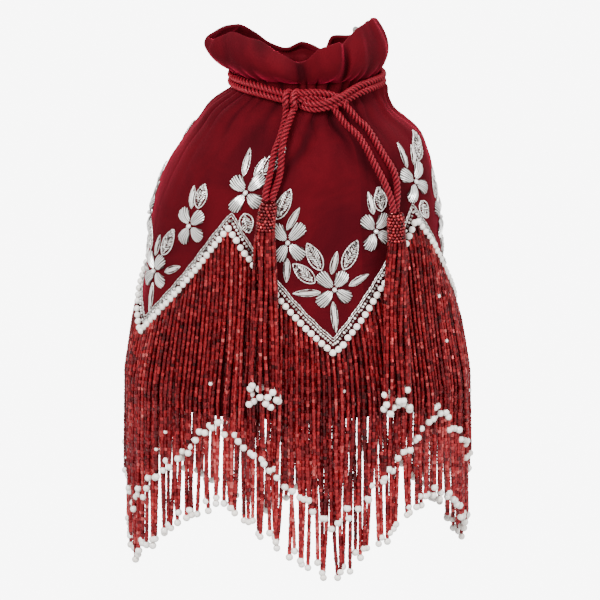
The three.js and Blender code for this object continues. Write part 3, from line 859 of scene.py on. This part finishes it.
def facing(directions, dice, width, length):
    """Turns that lay a template's own Z along each direction, rolled at random."""
    along = directions / np.linalg.norm(directions, axis=1)[:, None]
    helper = np.where(np.abs(along[:, 2:]) > 0.8, [[1.0, 0, 0]], [[0, 0, 1.0]])
    side = np.cross(helper, along)
    side /= np.linalg.norm(side, axis=1)[:, None]
    other = np.cross(along, side)
    roll = dice.uniform(0, 2 * math.pi, len(along))[:, None]
    first = side * np.cos(roll) + other * np.sin(roll)
    second = np.cross(along, first)
    width = np.broadcast_to(width, len(along))[:, None]
    length = np.broadcast_to(length, len(along))[:, None]
    return np.stack([first * width, second * width, along * length], axis=2)


def tinted_finish(name, stops, roughness, metallic, coat):
    """A bead material whose colour follows the tint of each bead."""
    made, tree, shader = new_material(name)
    tint = tree.nodes.new("ShaderNodeAttribute")
    tint.attribute_name = "tint"
    coords = tree.nodes.new("ShaderNodeTexCoord")
    fleck = tree.nodes.new("ShaderNodeTexNoise")
    fleck.inputs["Scale"].default_value = 900
    fleck.inputs["Detail"].default_value = 2
    spread = tree.nodes.new("ShaderNodeMath")
    spread.operation = "MULTIPLY_ADD"
    spread.inputs[1].default_value = 0.3
    shift = tree.nodes.new("ShaderNodeMath")
    shift.operation = "SUBTRACT"
    shift.inputs[1].default_value = 0.15
    ramp = tree.nodes.new("ShaderNodeValToRGB")
    band = ramp.color_ramp.elements
    band[0].position, band[0].color = stops[0]
    band[1].position, band[1].color = stops[-1]
    for place, colour in stops[1:-1]:
        band.new(place).color = colour
    links = tree.links
    links.new(coords.outputs["Object"], fleck.inputs["Vector"])
    links.new(fleck.outputs["Fac"], spread.inputs[0])
    links.new(tint.outputs["Fac"], spread.inputs[2])
    links.new(spread.outputs["Value"], shift.inputs[0])
    links.new(shift.outputs["Value"], ramp.inputs["Fac"])
    links.new(ramp.outputs["Color"], shader.inputs["Base Color"])
    shader.inputs["Roughness"].default_value = roughness
    shader.inputs["Metallic"].default_value = metallic
    shader.inputs["Coat Weight"].default_value = coat
    shader.inputs["Coat Roughness"].default_value = 0.08
    return made


pearl_material = tinted_finish(
    "cream_pearl", [(0, (0.86, 0.79, 0.71, 1)), (1, (0.98, 0.95, 0.91, 1))], 0.3, 0, 0.3)
silver_material = tinted_finish(
    "silver_bead", [(0, (0.02, 0.014, 0.014, 1)), (0.4, (0.6, 0.56, 0.52, 1)),
                    (1, (1, 0.99, 0.97, 1))], 0.3, 0.5, 0.3)

bpy.ops.object.select_all(action="DESELECT")
bpy.ops.mesh.primitive_uv_sphere_add(segments=10, ring_count=6, radius=0.5)
round_bead = template_of(bpy.context.object)
bpy.ops.mesh.primitive_uv_sphere_add(segments=6, ring_count=4, radius=0.5)
seed_bead = template_of(bpy.context.object)

trim_dice = np.random.default_rng(21)
around = POINT_ANGLE + np.linspace(0, 360, 3601)
zigzag_line = on_body(around, zigzag_level(around), PEARL_WIDTH / 2)
run = lengths_along(zigzag_line)
strand_angles = np.interp((np.arange(STRANDS) + 0.5) / STRANDS * run[-1], run, around)
pearl_levels = zigzag_level(strand_angles) + trim_dice.normal(0, 0.25, STRANDS)
pearl_spots = on_body(strand_angles, pearl_levels, PEARL_WIDTH / 2 + 0.3)
pearl_sizes = PEARL_WIDTH * trim_dice.uniform(0.93, 1.03, STRANDS)
pearls = copies("pearl_trim", round_bead, pearl_spots,
                facing(trim_dice.normal(0, 1, (STRANDS, 3)), trim_dice, pearl_sizes, pearl_sizes),
                trim_dice.uniform(0.2, 0.9, STRANDS), pearl_material, True)
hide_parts("pearl_row")

SILVER_BEADS = 352
SILVER_RISE = 5.3  # how far above the pearls the silver beads lie
SILVER_WIDTH = 2.0
silver_angles = POINT_ANGLE + (np.arange(SILVER_BEADS) + 0.5) * 360 / SILVER_BEADS
silver_levels = zigzag_level(silver_angles) + SILVER_RISE + trim_dice.normal(0, 0.25, SILVER_BEADS)
silver_spots = on_body(silver_angles, silver_levels, 1.1)
silver_beads = copies("silver_bead_trim", seed_bead, silver_spots,
                      facing(trim_dice.normal(0, 1, (SILVER_BEADS, 3)), trim_dice,
                             SILVER_WIDTH, SILVER_WIDTH),
                      trim_dice.uniform(0, 0.95, SILVER_BEADS), silver_material, True)
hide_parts("silver_bead_row")


def couched_wire(name, rise, width, stand_off, wander):
    """A closed thin wire that follows the zigzag at that height above the pearls."""
    count = 720
    angles = POINT_ANGLE + np.arange(count) * 360 / count
    levels = zigzag_level(angles) + rise + wander * np.sin(np.radians(angles) * 61)
    line = on_body(angles, levels, stand_off)
    tangents = np.roll(line, -1, axis=0) - np.roll(line, 1, axis=0)
    tangents /= np.linalg.norm(tangents, axis=1)[:, None]
    out_x, out_y = oval_normal(oval_angle(angles))
    first = np.stack([out_x, out_y, 0 * out_x], axis=1)
    second = np.cross(tangents, first)
    second /= np.linalg.norm(second, axis=1)[:, None]
    spots = []
    for corner in range(6):
        turn = corner * math.pi / 3
        spots.append(line + (first * math.cos(turn) + second * math.sin(turn)) * width / 2)
    spots = np.stack(spots, axis=1).reshape(-1, 3)
    faces = []
    for n in range(count):
        m = (n + 1) % count
        for k in range(6):
            j = (k + 1) % 6
            faces.append((n * 6 + k, n * 6 + j, m * 6 + j, m * 6 + k))
    mesh = bpy.data.meshes.new(name)
    mesh.from_pydata((spots * MM).tolist(), [], faces)
    shade = 0.45 + 0.45 * np.sin(np.arange(count) * 2.1)
    tint_corners(mesh, np.repeat(shade, 6))
    mesh.shade_smooth()
    return new_piece(name, mesh, silver_material)


upper_wire = couched_wire("silver_wire_upper", 9.8, 0.7, 0.6, 0.3)
lower_wire = couched_wire("silver_wire_lower", 7.9, 0.75, 0.6, 0.25)
wires = joined("silver_wire_trim", [upper_wire, lower_wire])
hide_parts("silver_wire")


# ---------------------------------------------------------------- silver flowers
# Sprays sewn by hand with silver tube beads: petals of tubes laid side by side,
# leaves with a beaded outline and slanting tubes, slim leaves of long tubes.

# from: how many degrees round from its point of the zigzag a flower's heart lies
# petals: the middle of each, across and up from the heart of its flower
# leaves: kind, where it starts and where its tip is
SPRAYS = {
    "point": {
        "from": 3.1, "level": -122,
        "petals": [(-6.9, 7.4), (5.0, 7.0), (-7.4, -6.4), (6.8, -4.8)],
        "leaves": [("wide", (-12.3, 4.9), (-26.2, 17.3)), ("wide", (-7.9, 12.8), (-16.8, 30.6)),
                   ("wide", (6.4, 12.3), (15.8, 31.1)), ("slim", (-1.5, 9.9), (2.5, 24.7)),
                   ("slim", (9.9, 1.5), (23.4, 7.9)), ("slim", (-8.9, -1.5), (-26.7, -2)),
                   ("slim", (-1, -7.9), (0, -28.1))],
    },
    "left_limb": {
        "from": -17.7, "level": -90.8,
        "petals": [(6.6, 7.9), (6.6, -6.9), (-4.8, -7.9), (-6.7, 7.4)],
        "leaves": [("slim", (-0.8, 7.9), (6.1, 22.2)), ("slim", (-0.3, -10.4), (-0.8, -26.2)),
                   ("wide", (-7.7, 14.8), (-1.3, 34))],
    },
    "right_limb": {
        "from": 23.5, "level": -86.2,
        "petals": [(-5.4, 6.4), (5.7, 6.4), (-3.8, -7.9), (6.6, -4.5)],
        "leaves": [("slim", (-1, 11), (-4, 25.7)), ("wide", (4.4, 12.3), (3.4, 27.7))],
    },
    "peak": {
        "from": 49.5, "level": -60,
        "petals": [(-7.5, 5.4), (5.8, 7.1), (7.2, -4.9), (-4.6, -8.2)],
        "leaves": [("slim", (-4.5, 9.7), (-6.2, 26.2)), ("slim", (2.5, 10), (6.2, 22)),
                   ("wide", (7.5, 11.6), (16.8, 28.9)), ("wide", (2, -13), (7, -25))],
    },
}
TUBE_STATIONS = (0, 0.2, 0.5, 0.8, 1)
TUBE_END = 0.72  # a tube bead is drawn in at its ends
PETAL_TUBES = 13
PETAL_HALF_WIDTH = 4.5
SLIM_LEAF_WIDTH = 4.4
WIDE_LEAF_WIDTH = 8.8
HEART_BEAD = 3.1
HEART_OUT = 1.7
HEART_TINT = 0.8
spray_dice = np.random.default_rng(8)


def tube_rings(start, end, radius, lift, base):
    """Rings of one tube that arches from start to end, in (across, up, out)."""
    start, end = np.array(start, float), np.array(end, float)
    along = (end - start) / np.linalg.norm(end - start)
    aside = np.array([-along[1], along[0]])
    rings = []
    for share in TUBE_STATIONS:
        middle = start + (end - start) * share
        height = base + lift * math.sin(math.pi * share)
        size = radius * (TUBE_END if share in (0, 1) else 1)
        for corner in range(6):
            turn = corner * math.pi / 3
            flat = middle + aside * size * math.cos(turn)
            rings.append((flat[0], flat[1], height + size * math.sin(turn)))
    return rings


# a tube: where it starts and ends, its radius, how far it arches, its height, its tint
def petal_tubes(middle):
    """Tubes laid side by side from the heart outwards, with dark ones between the bright ones as painted
    shade in the gaps.
    """
    reach = math.hypot(*middle)
    along = np.array(middle) / reach
    aside = np.array([-along[1], along[0]])
    half = (PETAL_TUBES - 1) / 2
    tubes = []
    for k in range(PETAL_TUBES):
        share = (k - half) / half
        lean = share * PETAL_HALF_WIDTH
        near = 2.1 + 2.6 * share**2
        far = reach + 4.6 - 3.6 * share**4
        wobble = spray_dice.normal(0, 0.1, 4)
        start = along * near + aside * lean * 0.6 + wobble[:2]
        end = along * far + aside * lean + wobble[2:]
        fall = 0.9 * share**2
        # painted shade: the odd tubes are bright, and the even ones, lower and slimmer, are near black
        # to stand in for the shade between them
        if k % 2 == 1:
            tubes.append((start, end, 0.41, 1.7 - fall, 0.7, spray_dice.uniform(0.55, 1)))
        else:
            tubes.append((start, end, 0.37, 1.6 - fall, 0.6, spray_dice.uniform(0, 0.12)))
    return tubes


def leaf_swell(share):
    """The width of a leaf at that share of its length, as a share of its full width."""
    return math.sin(math.pi * share**0.85) ** 0.75 if 0 < share < 1 else 0


def leaf_outline(start, end, width, count):
    """Points of a pointed leaf, up one side and down the other."""
    start, end = np.array(start, float), np.array(end, float)
    along = end - start
    aside = np.array([-along[1], along[0]]) / np.linalg.norm(along)
    points = []
    for side in (1, -1):
        shares = np.linspace(0, 1, count)
        if side < 0:
            shares = shares[::-1][1:-1]
        for share in shares:
            points.append(start + along * share + aside * side * leaf_swell(share) * width / 2)
    return points


def slim_leaf_tubes(start, end):
    """A slim leaf: a darker outline round three lines of long tubes."""
    start, end = np.array(start, float), np.array(end, float)
    unit = (end - start) / np.linalg.norm(end - start)
    aside = np.array([-unit[1], unit[0]])
    outline = leaf_outline(start, end, SLIM_LEAF_WIDTH, 8)
    tubes = []
    for one, other in zip(outline, outline[1:] + outline[:1]):
        tubes.append((one, other, 0.3, 0.1, 0.4, spray_dice.uniform(0.05, 0.7)))
    for offset, near, far in ((0, 0.04, 0.5), (0, 0.5, 0.97), (1.0, 0.14, 0.76),
                              (-1.0, 0.14, 0.76), (0.5, 0.3, 0.9), (-0.5, 0.1, 0.62)):
        tubes.append((start + (end - start) * near + aside * offset * 0.8,
                      start + (end - start) * far + aside * offset * 0.8, 0.38, 0.6, 0.7,
                      spray_dice.uniform(0.35, 1)))
    return tubes


def wide_leaf_tubes(start, end):
    """A broad leaf: an outline of tubes filled with short slanting ones, unevenly bright."""
    start, end = np.array(start, float), np.array(end, float)
    along = end - start
    length = np.linalg.norm(along)
    unit = along / length
    aside = np.array([-unit[1], unit[0]])
    outline = leaf_outline(start, end, WIDE_LEAF_WIDTH, 10)
    tubes = []
    for one, other in zip(outline, outline[1:] + outline[:1]):
        tubes.append((one, other, 0.42, 0.25, 0.6, spray_dice.uniform(0.3, 0.95)))
    for share in np.arange(0.10, 0.86, 1.45 / length):
        reach = max(0.7, leaf_swell(share) * 3.8 - 0.5)
        spot = start + along * share
        for side in (1, -1):
            jitter = spray_dice.normal(0, 0.2, 2)
            tubes.append((spot + aside * side * 0.2 + jitter,
                          spot + unit * 1.5 + aside * side * reach * 0.55 + jitter,
                          0.42, 0.5, spray_dice.uniform(0.5, 1.0), spray_dice.uniform(0, 1)))
            tubes.append((spot + unit * 1.3 + aside * side * reach * 0.5 - jitter,
                          spot + unit * 2.3 + aside * side * reach,
                          0.4, 0.4, spray_dice.uniform(0.5, 0.9), spray_dice.uniform(0, 1)))
    return tubes


def silver_spray(name, arc_angle, spray):
    """One flower with its leaves, laid on the velvet with its heart at that angle."""
    tubes = []
    for middle in spray["petals"]:
        tubes += petal_tubes(middle)
    for kind, start, end in spray["leaves"]:
        tubes += slim_leaf_tubes(start, end) if kind == "slim" else wide_leaf_tubes(start, end)
    corners = []
    faces = []
    tints = []
    for start, end, radius, lift, base, tint in tubes:
        first = len(corners)
        corners += tube_rings(start, end, radius, lift, base)
        tints += [tint] * (6 * len(TUBE_STATIONS))
        for n in range(len(TUBE_STATIONS) - 1):
            for k in range(6):
                j = (k + 1) % 6
                faces.append((first + n * 6 + k, first + n * 6 + j,
                              first + n * 6 + 6 + j, first + n * 6 + 6 + k))
        last = first + (len(TUBE_STATIONS) - 1) * 6
        faces.append(tuple(first + k for k in range(5, -1, -1)))
        faces.append(tuple(last + k for k in range(6)))
    heart_corners, heart_faces = round_bead
    first = len(corners)
    corners += (heart_corners * HEART_BEAD + (0, 0, HEART_OUT)).tolist()
    faces += [tuple(first + k for k in face) for face in heart_faces]
    tints += [HEART_TINT] * len(heart_corners)
    flat = np.array(corners)
    levels = spray["level"] + flat[:, 1]
    mean_radius = half_width(levels) * (1 + DEPTH_RATIO) / 2
    turned = arc_angle + np.degrees(flat[:, 0] / mean_radius)
    spots = on_body(turned, levels, flat[:, 2])
    mesh = bpy.data.meshes.new(name)
    mesh.from_pydata((spots * MM).tolist(), [], faces)
    tint_corners(mesh, tints)
    made = new_piece(name, mesh, silver_material)
    bpy.ops.object.select_all(action="DESELECT")
    made.select_set(True)
    bpy.context.view_layer.objects.active = made
    faces_outward()
    bpy.ops.object.shade_smooth_by_angle(angle=math.radians(25))
    return made


SIDES = ("front", "right", "back", "left")
for n, side in enumerate(SIDES):
    for place, spray in SPRAYS.items():
        heart_angle = POINT_ANGLE + n * POINT_SPAN + spray["from"]
        made = silver_spray("spray_" + side + "_" + place, heart_angle, spray)
        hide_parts("flower_" + side + "_" + place)


# ---------------------------------------------------------------- bead fringe
# Two strands of silver-lined red glass beads hang from each pearl, a short one
# over a long one, and every strand ends in a pearl. They fall free below the base.
BEAD_WIDTH = 2.9
SLIM_BEAD_WIDTH = 2.35  # the beads over the velvet are a little slimmer
SLIM_LEVELS = (-235, -205)
BEAD_LENGTH = 2.25
TIP_PEARL = 4.8
TIP_DROP = TIP_PEARL * 0.45  # how far under the last bead the middle of its pearl hangs
STRAY_SHARE = 0.07  # the share of strands that hold one small pearl among their beads
STRAY_PEARL = 2.9
STRAND_START = 1.7  # how far off the velvet a strand leaves its pearl
HANG_LEVEL = -198
LEAN_LEVEL = -225
LEAN_DROP = 80
LOWEST_TIP = -316
# painted shade: the long strands are tinted darker above, where the short strands hang over them and
# shade them
SHADED_LEVELS = (-225, -200)  # a long strand is darker above, where a short one covers it
SHADED_TINTS = (0.62, 0.26)

bpy.ops.object.select_all(action="DESELECT")
bpy.ops.mesh.primitive_cone_add(vertices=6, radius1=0.5, radius2=0.43, depth=0.97,
                                end_fill_type="NGON")
tube_bead = template_of(bpy.context.object)

red_glass = tinted_finish(
    "red_glass", [(0, (0.03, 0.0003, 0.0008, 1)), (0.42, (0.148, 0.0028, 0.006, 1)),
                  (0.75, (0.38, 0.018, 0.023, 1)), (1, (0.66, 0.13, 0.12, 1))], 0.24, 0.6, 0.1)

fringe_dice = np.random.default_rng(33)


def tip_level(arc_angle, at_point, at_peak):
    """The level of a strand's tip, which follows the zigzag above it."""
    turned = (arc_angle - POINT_ANGLE) % POINT_SPAN
    from_point = min(turned, POINT_SPAN - turned) / (POINT_SPAN / 2)
    return at_point + (at_peak - at_point) * from_point


def bunches(count):
    """How far each strand leans to the middle of its bunch of two to five, in degrees."""
    lean = np.zeros(count)
    strand = 0
    while strand < count:
        size = min(int(fringe_dice.integers(2, 6)), count - strand)
        pull = fringe_dice.uniform(0.2, 0.7)
        for k in range(size):
            lean[strand + k] = ((size - 1) / 2 - k) * STRAND_ANGLE * pull
        strand += size
    return lean


# the tip's level under a point and under a peak, how far off the velvet the strand
# hangs, how far it stands aside from its pearl as a share of a pearl's place, its lean
STRAND_SETS = {
    "short": {"point": -279, "peak": -208, "off": 3.4, "shift": 0.25, "lean": bunches(STRANDS)},
    "long": {"point": -314, "peak": -260, "off": 1.4, "shift": -0.25, "lean": bunches(STRANDS)},
}


def strand_line(n, kind):
    """The line of one strand, every 1 mm or so, from its pearl to its tip."""
    arc_angle = strand_angles[n]
    top = float(zigzag_level(arc_angle)) - PEARL_WIDTH / 2
    low = tip_level(arc_angle, kind["point"], kind["peak"]) + fringe_dice.normal(0, 2.2)
    low = max(low, LOWEST_TIP)
    levels = np.arange(top, low, -1.0)
    share = (top - levels) / (top - low)
    wave = fringe_dice.normal(0, 0.42) * np.sin(share * fringe_dice.uniform(4, 9)
                                              + fringe_dice.uniform(0, 6))
    drift = fringe_dice.normal(0, 0.95) * share**3
    lean = kind["lean"][n] * np.clip((LEAN_LEVEL - levels) / LEAN_DROP, 0, 1) ** 1.5
    shift = kind["shift"] * STRAND_ANGLE * np.clip(share * 8, 0, 1)
    out = STRAND_START + (kind["off"] - STRAND_START) * np.clip(share * 6, 0, 1)
    out = out + fringe_dice.uniform(-0.2, 0.6) + 1.2 * fringe_dice.uniform(-1, 1) * share**2
    spots = on_body(arc_angle + wave * share + drift + lean + shift,
                    np.maximum(levels, HANG_LEVEL), np.maximum(out, 1.3))
    spots[:, 2] = levels
    return spots


def beads_along(line, pitch):
    """Middles and directions of beads strung along a line, and the end of the last one."""
    whole_length = lengths_along(line)[-1]
    edges = [0.0]
    while edges[-1] + pitch * 1.1 < whole_length:
        edges.append(edges[-1] + pitch * fringe_dice.uniform(0.92, 1.08))
    ends = points_along(line, edges)
    return (ends[1:] + ends[:-1]) / 2, np.diff(ends, axis=0), ends[-1]


fringe_parts = {side: {"spots": [], "ways": [], "tints": []} for side in SIDES}
drop_pearls = {side: [] for side in SIDES}
for n in range(STRANDS):
    side = SIDES[int(((strand_angles[n] - POINT_ANGLE + POINT_SPAN / 2) // POINT_SPAN) % 4)]
    for kind_name, kind in STRAND_SETS.items():
        line = strand_line(n, kind)
        middles, ways, tip = beads_along(line, BEAD_LENGTH)
        depth = 0.5
        # painted shade on the long strands where the short ones hang over them
        if kind_name == "long":
            depth = np.interp(middles[:, 2], SHADED_LEVELS, SHADED_TINTS)
        tints = fringe_dice.normal(depth, 0.15, len(middles)) + fringe_dice.normal(0, 0.1)
        keep = np.ones(len(middles), bool)
        drop_pearls[side].append((tip - (0, 0, TIP_DROP), TIP_PEARL))
        if fringe_dice.uniform() < STRAY_SHARE:
            stray = int(fringe_dice.integers(len(middles) // 5, len(middles) - 3))
            keep[stray] = False
            drop_pearls[side].append((middles[stray], STRAY_PEARL))
        fringe_parts[side]["spots"].append(middles[keep])
        fringe_parts[side]["ways"].append(ways[keep])
        fringe_parts[side]["tints"].append(np.clip(tints, 0, 1)[keep])

for side in SIDES:
    part = fringe_parts[side]
    spots = np.concatenate(part["spots"])
    ways = np.concatenate(part["ways"])
    lengths = np.linalg.norm(ways, axis=1)
    wide = np.interp(spots[:, 2], SLIM_LEVELS, (BEAD_WIDTH, SLIM_BEAD_WIDTH))
    tubes = copies("fringe_tubes_" + side, tube_bead, spots,
                   facing(ways + fringe_dice.normal(0, 0.16, ways.shape), fringe_dice,
                          wide * fringe_dice.uniform(0.9, 1.06, len(spots)), lengths),
                   np.concatenate(part["tints"]), red_glass, False)
    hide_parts("fringe_" + side)
    drops = drop_pearls[side]
    sizes = np.array([size for _, size in drops]) * fringe_dice.uniform(0.94, 1.04, len(drops))
    made = copies("fringe_pearls_" + side, round_bead, np.array([spot for spot, _ in drops]),
                  facing(fringe_dice.normal(0, 1, (len(drops), 3)), fringe_dice, sizes, sizes),
                  fringe_dice.uniform(0.1, 0.9, len(drops)), pearl_material, True)
    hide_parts("fringe_" + side)


# ---------------------------------------------------------------- tassels
# Each pair of tails ends in one tassel: a head netted over in red seed beads,
# with the ends of both cords glued inside, and a skirt of strands with pearl tips.

# sections of the head and of the skirt: how far down, half-width, half-depth, and how
# far the middle stands off the velvet
HEAD_ROWS = [(0, 4.2, 3.6, 8), (3, 5.0, 4.5, 8.4), (10, 5.2, 5.0, 9), (17, 5.4, 4.9, 9.2)]
SKIRT_ROWS = [(17.4, 5.4, 4.2, 9.6), (30, 6.4, 4.4, 9.6), (60, 7.6, 4.2, 9.2),
              (95, 8.6, 4, 9), (130, 9.6, 4, 8.8)]
TASSELS = {
    "left": {"top": -63.6, "angle": -13.4, "low_angle": -11.9, "length": 129},
    "right": {"top": -74.7, "angle": 44.4, "low_angle": 37.8, "length": 123},
}
TURNED_DROP = 130  # how far down the tassel has come to its low angle
HEAD_BEAD = 2.35
HEAD_BEAD_ROWS = np.arange(0.8, 17.3, 1.95)
CORE_ENDS = (0.6, 16.6)
CORE_INSET = 0.9
CORE_TINT = 0.2
SKIRT_TOP = 17.6
SKIRT_STRANDS = 14
CORE_STRANDS = 5
CORE_STRANDS_IN = 0.45  # how far out the inner strands hang, as a share of the outer ones


def tassel_frame(tassel, drop):
    """The tassel's middle at that drop, with its across and its outward direction."""
    share = drop / TURNED_DROP
    arc_angle = tassel["angle"] + (tassel["low_angle"] - tassel["angle"]) * share
    level = tassel["top"] - drop
    angle = float(oval_angle(arc_angle))
    half = float(half_width(level))
    rows = HEAD_ROWS + SKIRT_ROWS
    stand_off = np.interp(drop, [row[0] for row in rows], [row[3] for row in rows])
    middle = np.array([float(body_shift(level)) + (half + stand_off) * math.sin(angle),
                       -(half * DEPTH_RATIO + stand_off) * math.cos(angle), level])
    out_x, out_y = oval_normal(angle)
    return middle, np.array([-out_y, out_x, 0]), np.array([out_x, out_y, 0])


def half_sizes(rows, drop):
    """Half the width and half the depth of the head or of the skirt at that drop."""
    drops = [row[0] for row in rows]
    return [float(np.interp(drop, drops, [row[k] for row in rows])) for k in (1, 2)]


tassel_heads = {}
tassel_dice = np.random.default_rng(44)
for side, tassel in TASSELS.items():
    spots = []
    for count, drop in enumerate(HEAD_BEAD_ROWS):
        middle, across, out = tassel_frame(tassel, drop)
        wide, deep = half_sizes(HEAD_ROWS, drop)
        number = int(round(math.pi * (wide + deep) / HEAD_BEAD))
        for k in range(number):
            turn = 2 * math.pi * (k + 0.5 * (count % 2)) / number
            spots.append(middle + across * wide * math.cos(turn) + out * deep * math.sin(turn))
    spots = np.array(spots)
    net = copies("tassel_net_" + side, seed_bead, spots,
                 facing(tassel_dice.normal(0, 1, spots.shape), tassel_dice, HEAD_BEAD, HEAD_BEAD),
                 np.clip(tassel_dice.normal(0.45, 0.2, len(spots)), 0, 1), red_glass, True)
    bpy.ops.object.select_all(action="DESELECT")
    bpy.ops.mesh.primitive_cylinder_add(vertices=20, radius=1, depth=1, end_fill_type="TRIFAN")
    core = bpy.context.object
    for corner in core.data.vertices:
        drop = CORE_ENDS[0] if corner.co.z > 0 else CORE_ENDS[1]
        middle, across, out = tassel_frame(tassel, drop)
        wide, deep = (half - CORE_INSET for half in half_sizes(HEAD_ROWS, drop))
        corner.co = (middle + across * wide * corner.co.x - out * deep * corner.co.y) * MM
    tint_corners(core.data, [CORE_TINT] * len(core.data.vertices))
    core.data.materials.append(red_glass)
    faces_outward()
    head = joined("tassel_head_beads_" + side, [net, core])
    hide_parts("tassel_head_" + side)
    tassel_heads[side] = head

    spots = []
    ways = []
    tints = []
    tip_pearls = []
    for k in range(SKIRT_STRANDS + CORE_STRANDS):
        if k < SKIRT_STRANDS:
            turn = 2 * math.pi * k / SKIRT_STRANDS
            depth = 1
        else:
            turn = 2 * math.pi * k / CORE_STRANDS
            depth = CORE_STRANDS_IN
        end = tassel["length"] + tassel_dice.uniform(-10, 5)
        wave = tassel_dice.normal(0, 0.12)
        line = []
        for drop in np.arange(SKIRT_TOP, end, 2):
            middle, across, out = tassel_frame(tassel, drop)
            wide, deep = (half * depth for half in half_sizes(SKIRT_ROWS, drop))
            swing = turn + wave * math.sin(drop / 17 + k)
            line.append(middle + across * wide * math.cos(swing) + out * deep * math.sin(swing))
        middles, steps, tip = beads_along(np.array(line), BEAD_LENGTH)
        spots.append(middles)
        ways.append(steps)
        tints.append(np.clip(tassel_dice.normal(0.48, 0.17, len(middles)), 0, 1))
        tip_pearls.append(tip - (0, 0, TIP_DROP))
    ways = np.concatenate(ways)
    skirt = copies("tassel_strands_" + side, tube_bead, np.concatenate(spots),
                   facing(ways + tassel_dice.normal(0, 0.14, ways.shape), tassel_dice,
                          SLIM_BEAD_WIDTH, np.linalg.norm(ways, axis=1)),
                   np.concatenate(tints), red_glass, False)
    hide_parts("tassel_skirt_" + side)
    tips = copies("tassel_pearls_" + side, round_bead, np.array(tip_pearls),
                  facing(tassel_dice.normal(0, 1, (len(tip_pearls), 3)), tassel_dice,
                         TIP_PEARL, TIP_PEARL),
                  tassel_dice.uniform(0.1, 0.9, len(tip_pearls)), pearl_material, True)
    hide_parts("tassel_skirt_" + side)

for tail, cord in tail_cords.items():
    line = tail_lines[tail]
    head = tassel_heads["left" if "left" in tail else "right"]


# ---------------------------------------------------------------- press stud
# A small sewn press stud closes the mouth: the stud and its socket face each
# other from the inner sides of the rim.
STUD_RADIUS = 4
STUD_THICKNESS = 1.0
BOSS_RADIUS = 1.5
# each half: its name, the node it replaces, its place round the rim, how far down it is
STUD_HALVES = [("press_stud", "snap_stud", 74, 1.4), ("press_socket", "snap_socket", 118, 3.0)]
stud_material, stud_shader = plain_finish(
    "stud_steel", (0.45, 0.44, 0.42, 1), (0.66, 0.65, 0.62, 1), 0.26, 400)
stud_shader.inputs["Metallic"].default_value = 1
for stud_name, replaced, column, drop in STUD_HALVES:
    centre = rim_curve[column] - rim_up[column] * drop
    inward = -rim_normals[column]
    bpy.ops.object.select_all(action="DESELECT")
    bpy.ops.mesh.primitive_cylinder_add(vertices=28, radius=STUD_RADIUS, depth=STUD_THICKNESS)
    disc = bpy.context.object
    bpy.ops.mesh.primitive_uv_sphere_add(segments=16, ring_count=8, radius=BOSS_RADIUS,
                                         location=(0, 0, 0.6))
    boss = bpy.context.object
    stud = joined(stud_name, [disc, boss])
    soft_rim = stud.modifiers.new("soft_rim", "BEVEL")
    soft_rim.width = 0.35
    soft_rim.segments = 2
    bpy.context.view_layer.objects.active = stud
    bpy.ops.object.modifier_apply(modifier="soft_rim")
    quarter = Vector(inward).to_track_quat("Z", "Y").to_matrix().to_4x4()
    place = Vector(centre + inward * (RUFFLE_WALL + 0.7))
    stud.data.transform(Matrix.Scale(MM, 4) @ Matrix.Translation(place) @ quarter)
    bpy.ops.object.shade_smooth_by_angle(angle=math.radians(40))
    stud.data.materials.clear()
    stud.data.materials.append(stud_material)
    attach(stud, "root")
    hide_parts(replaced)
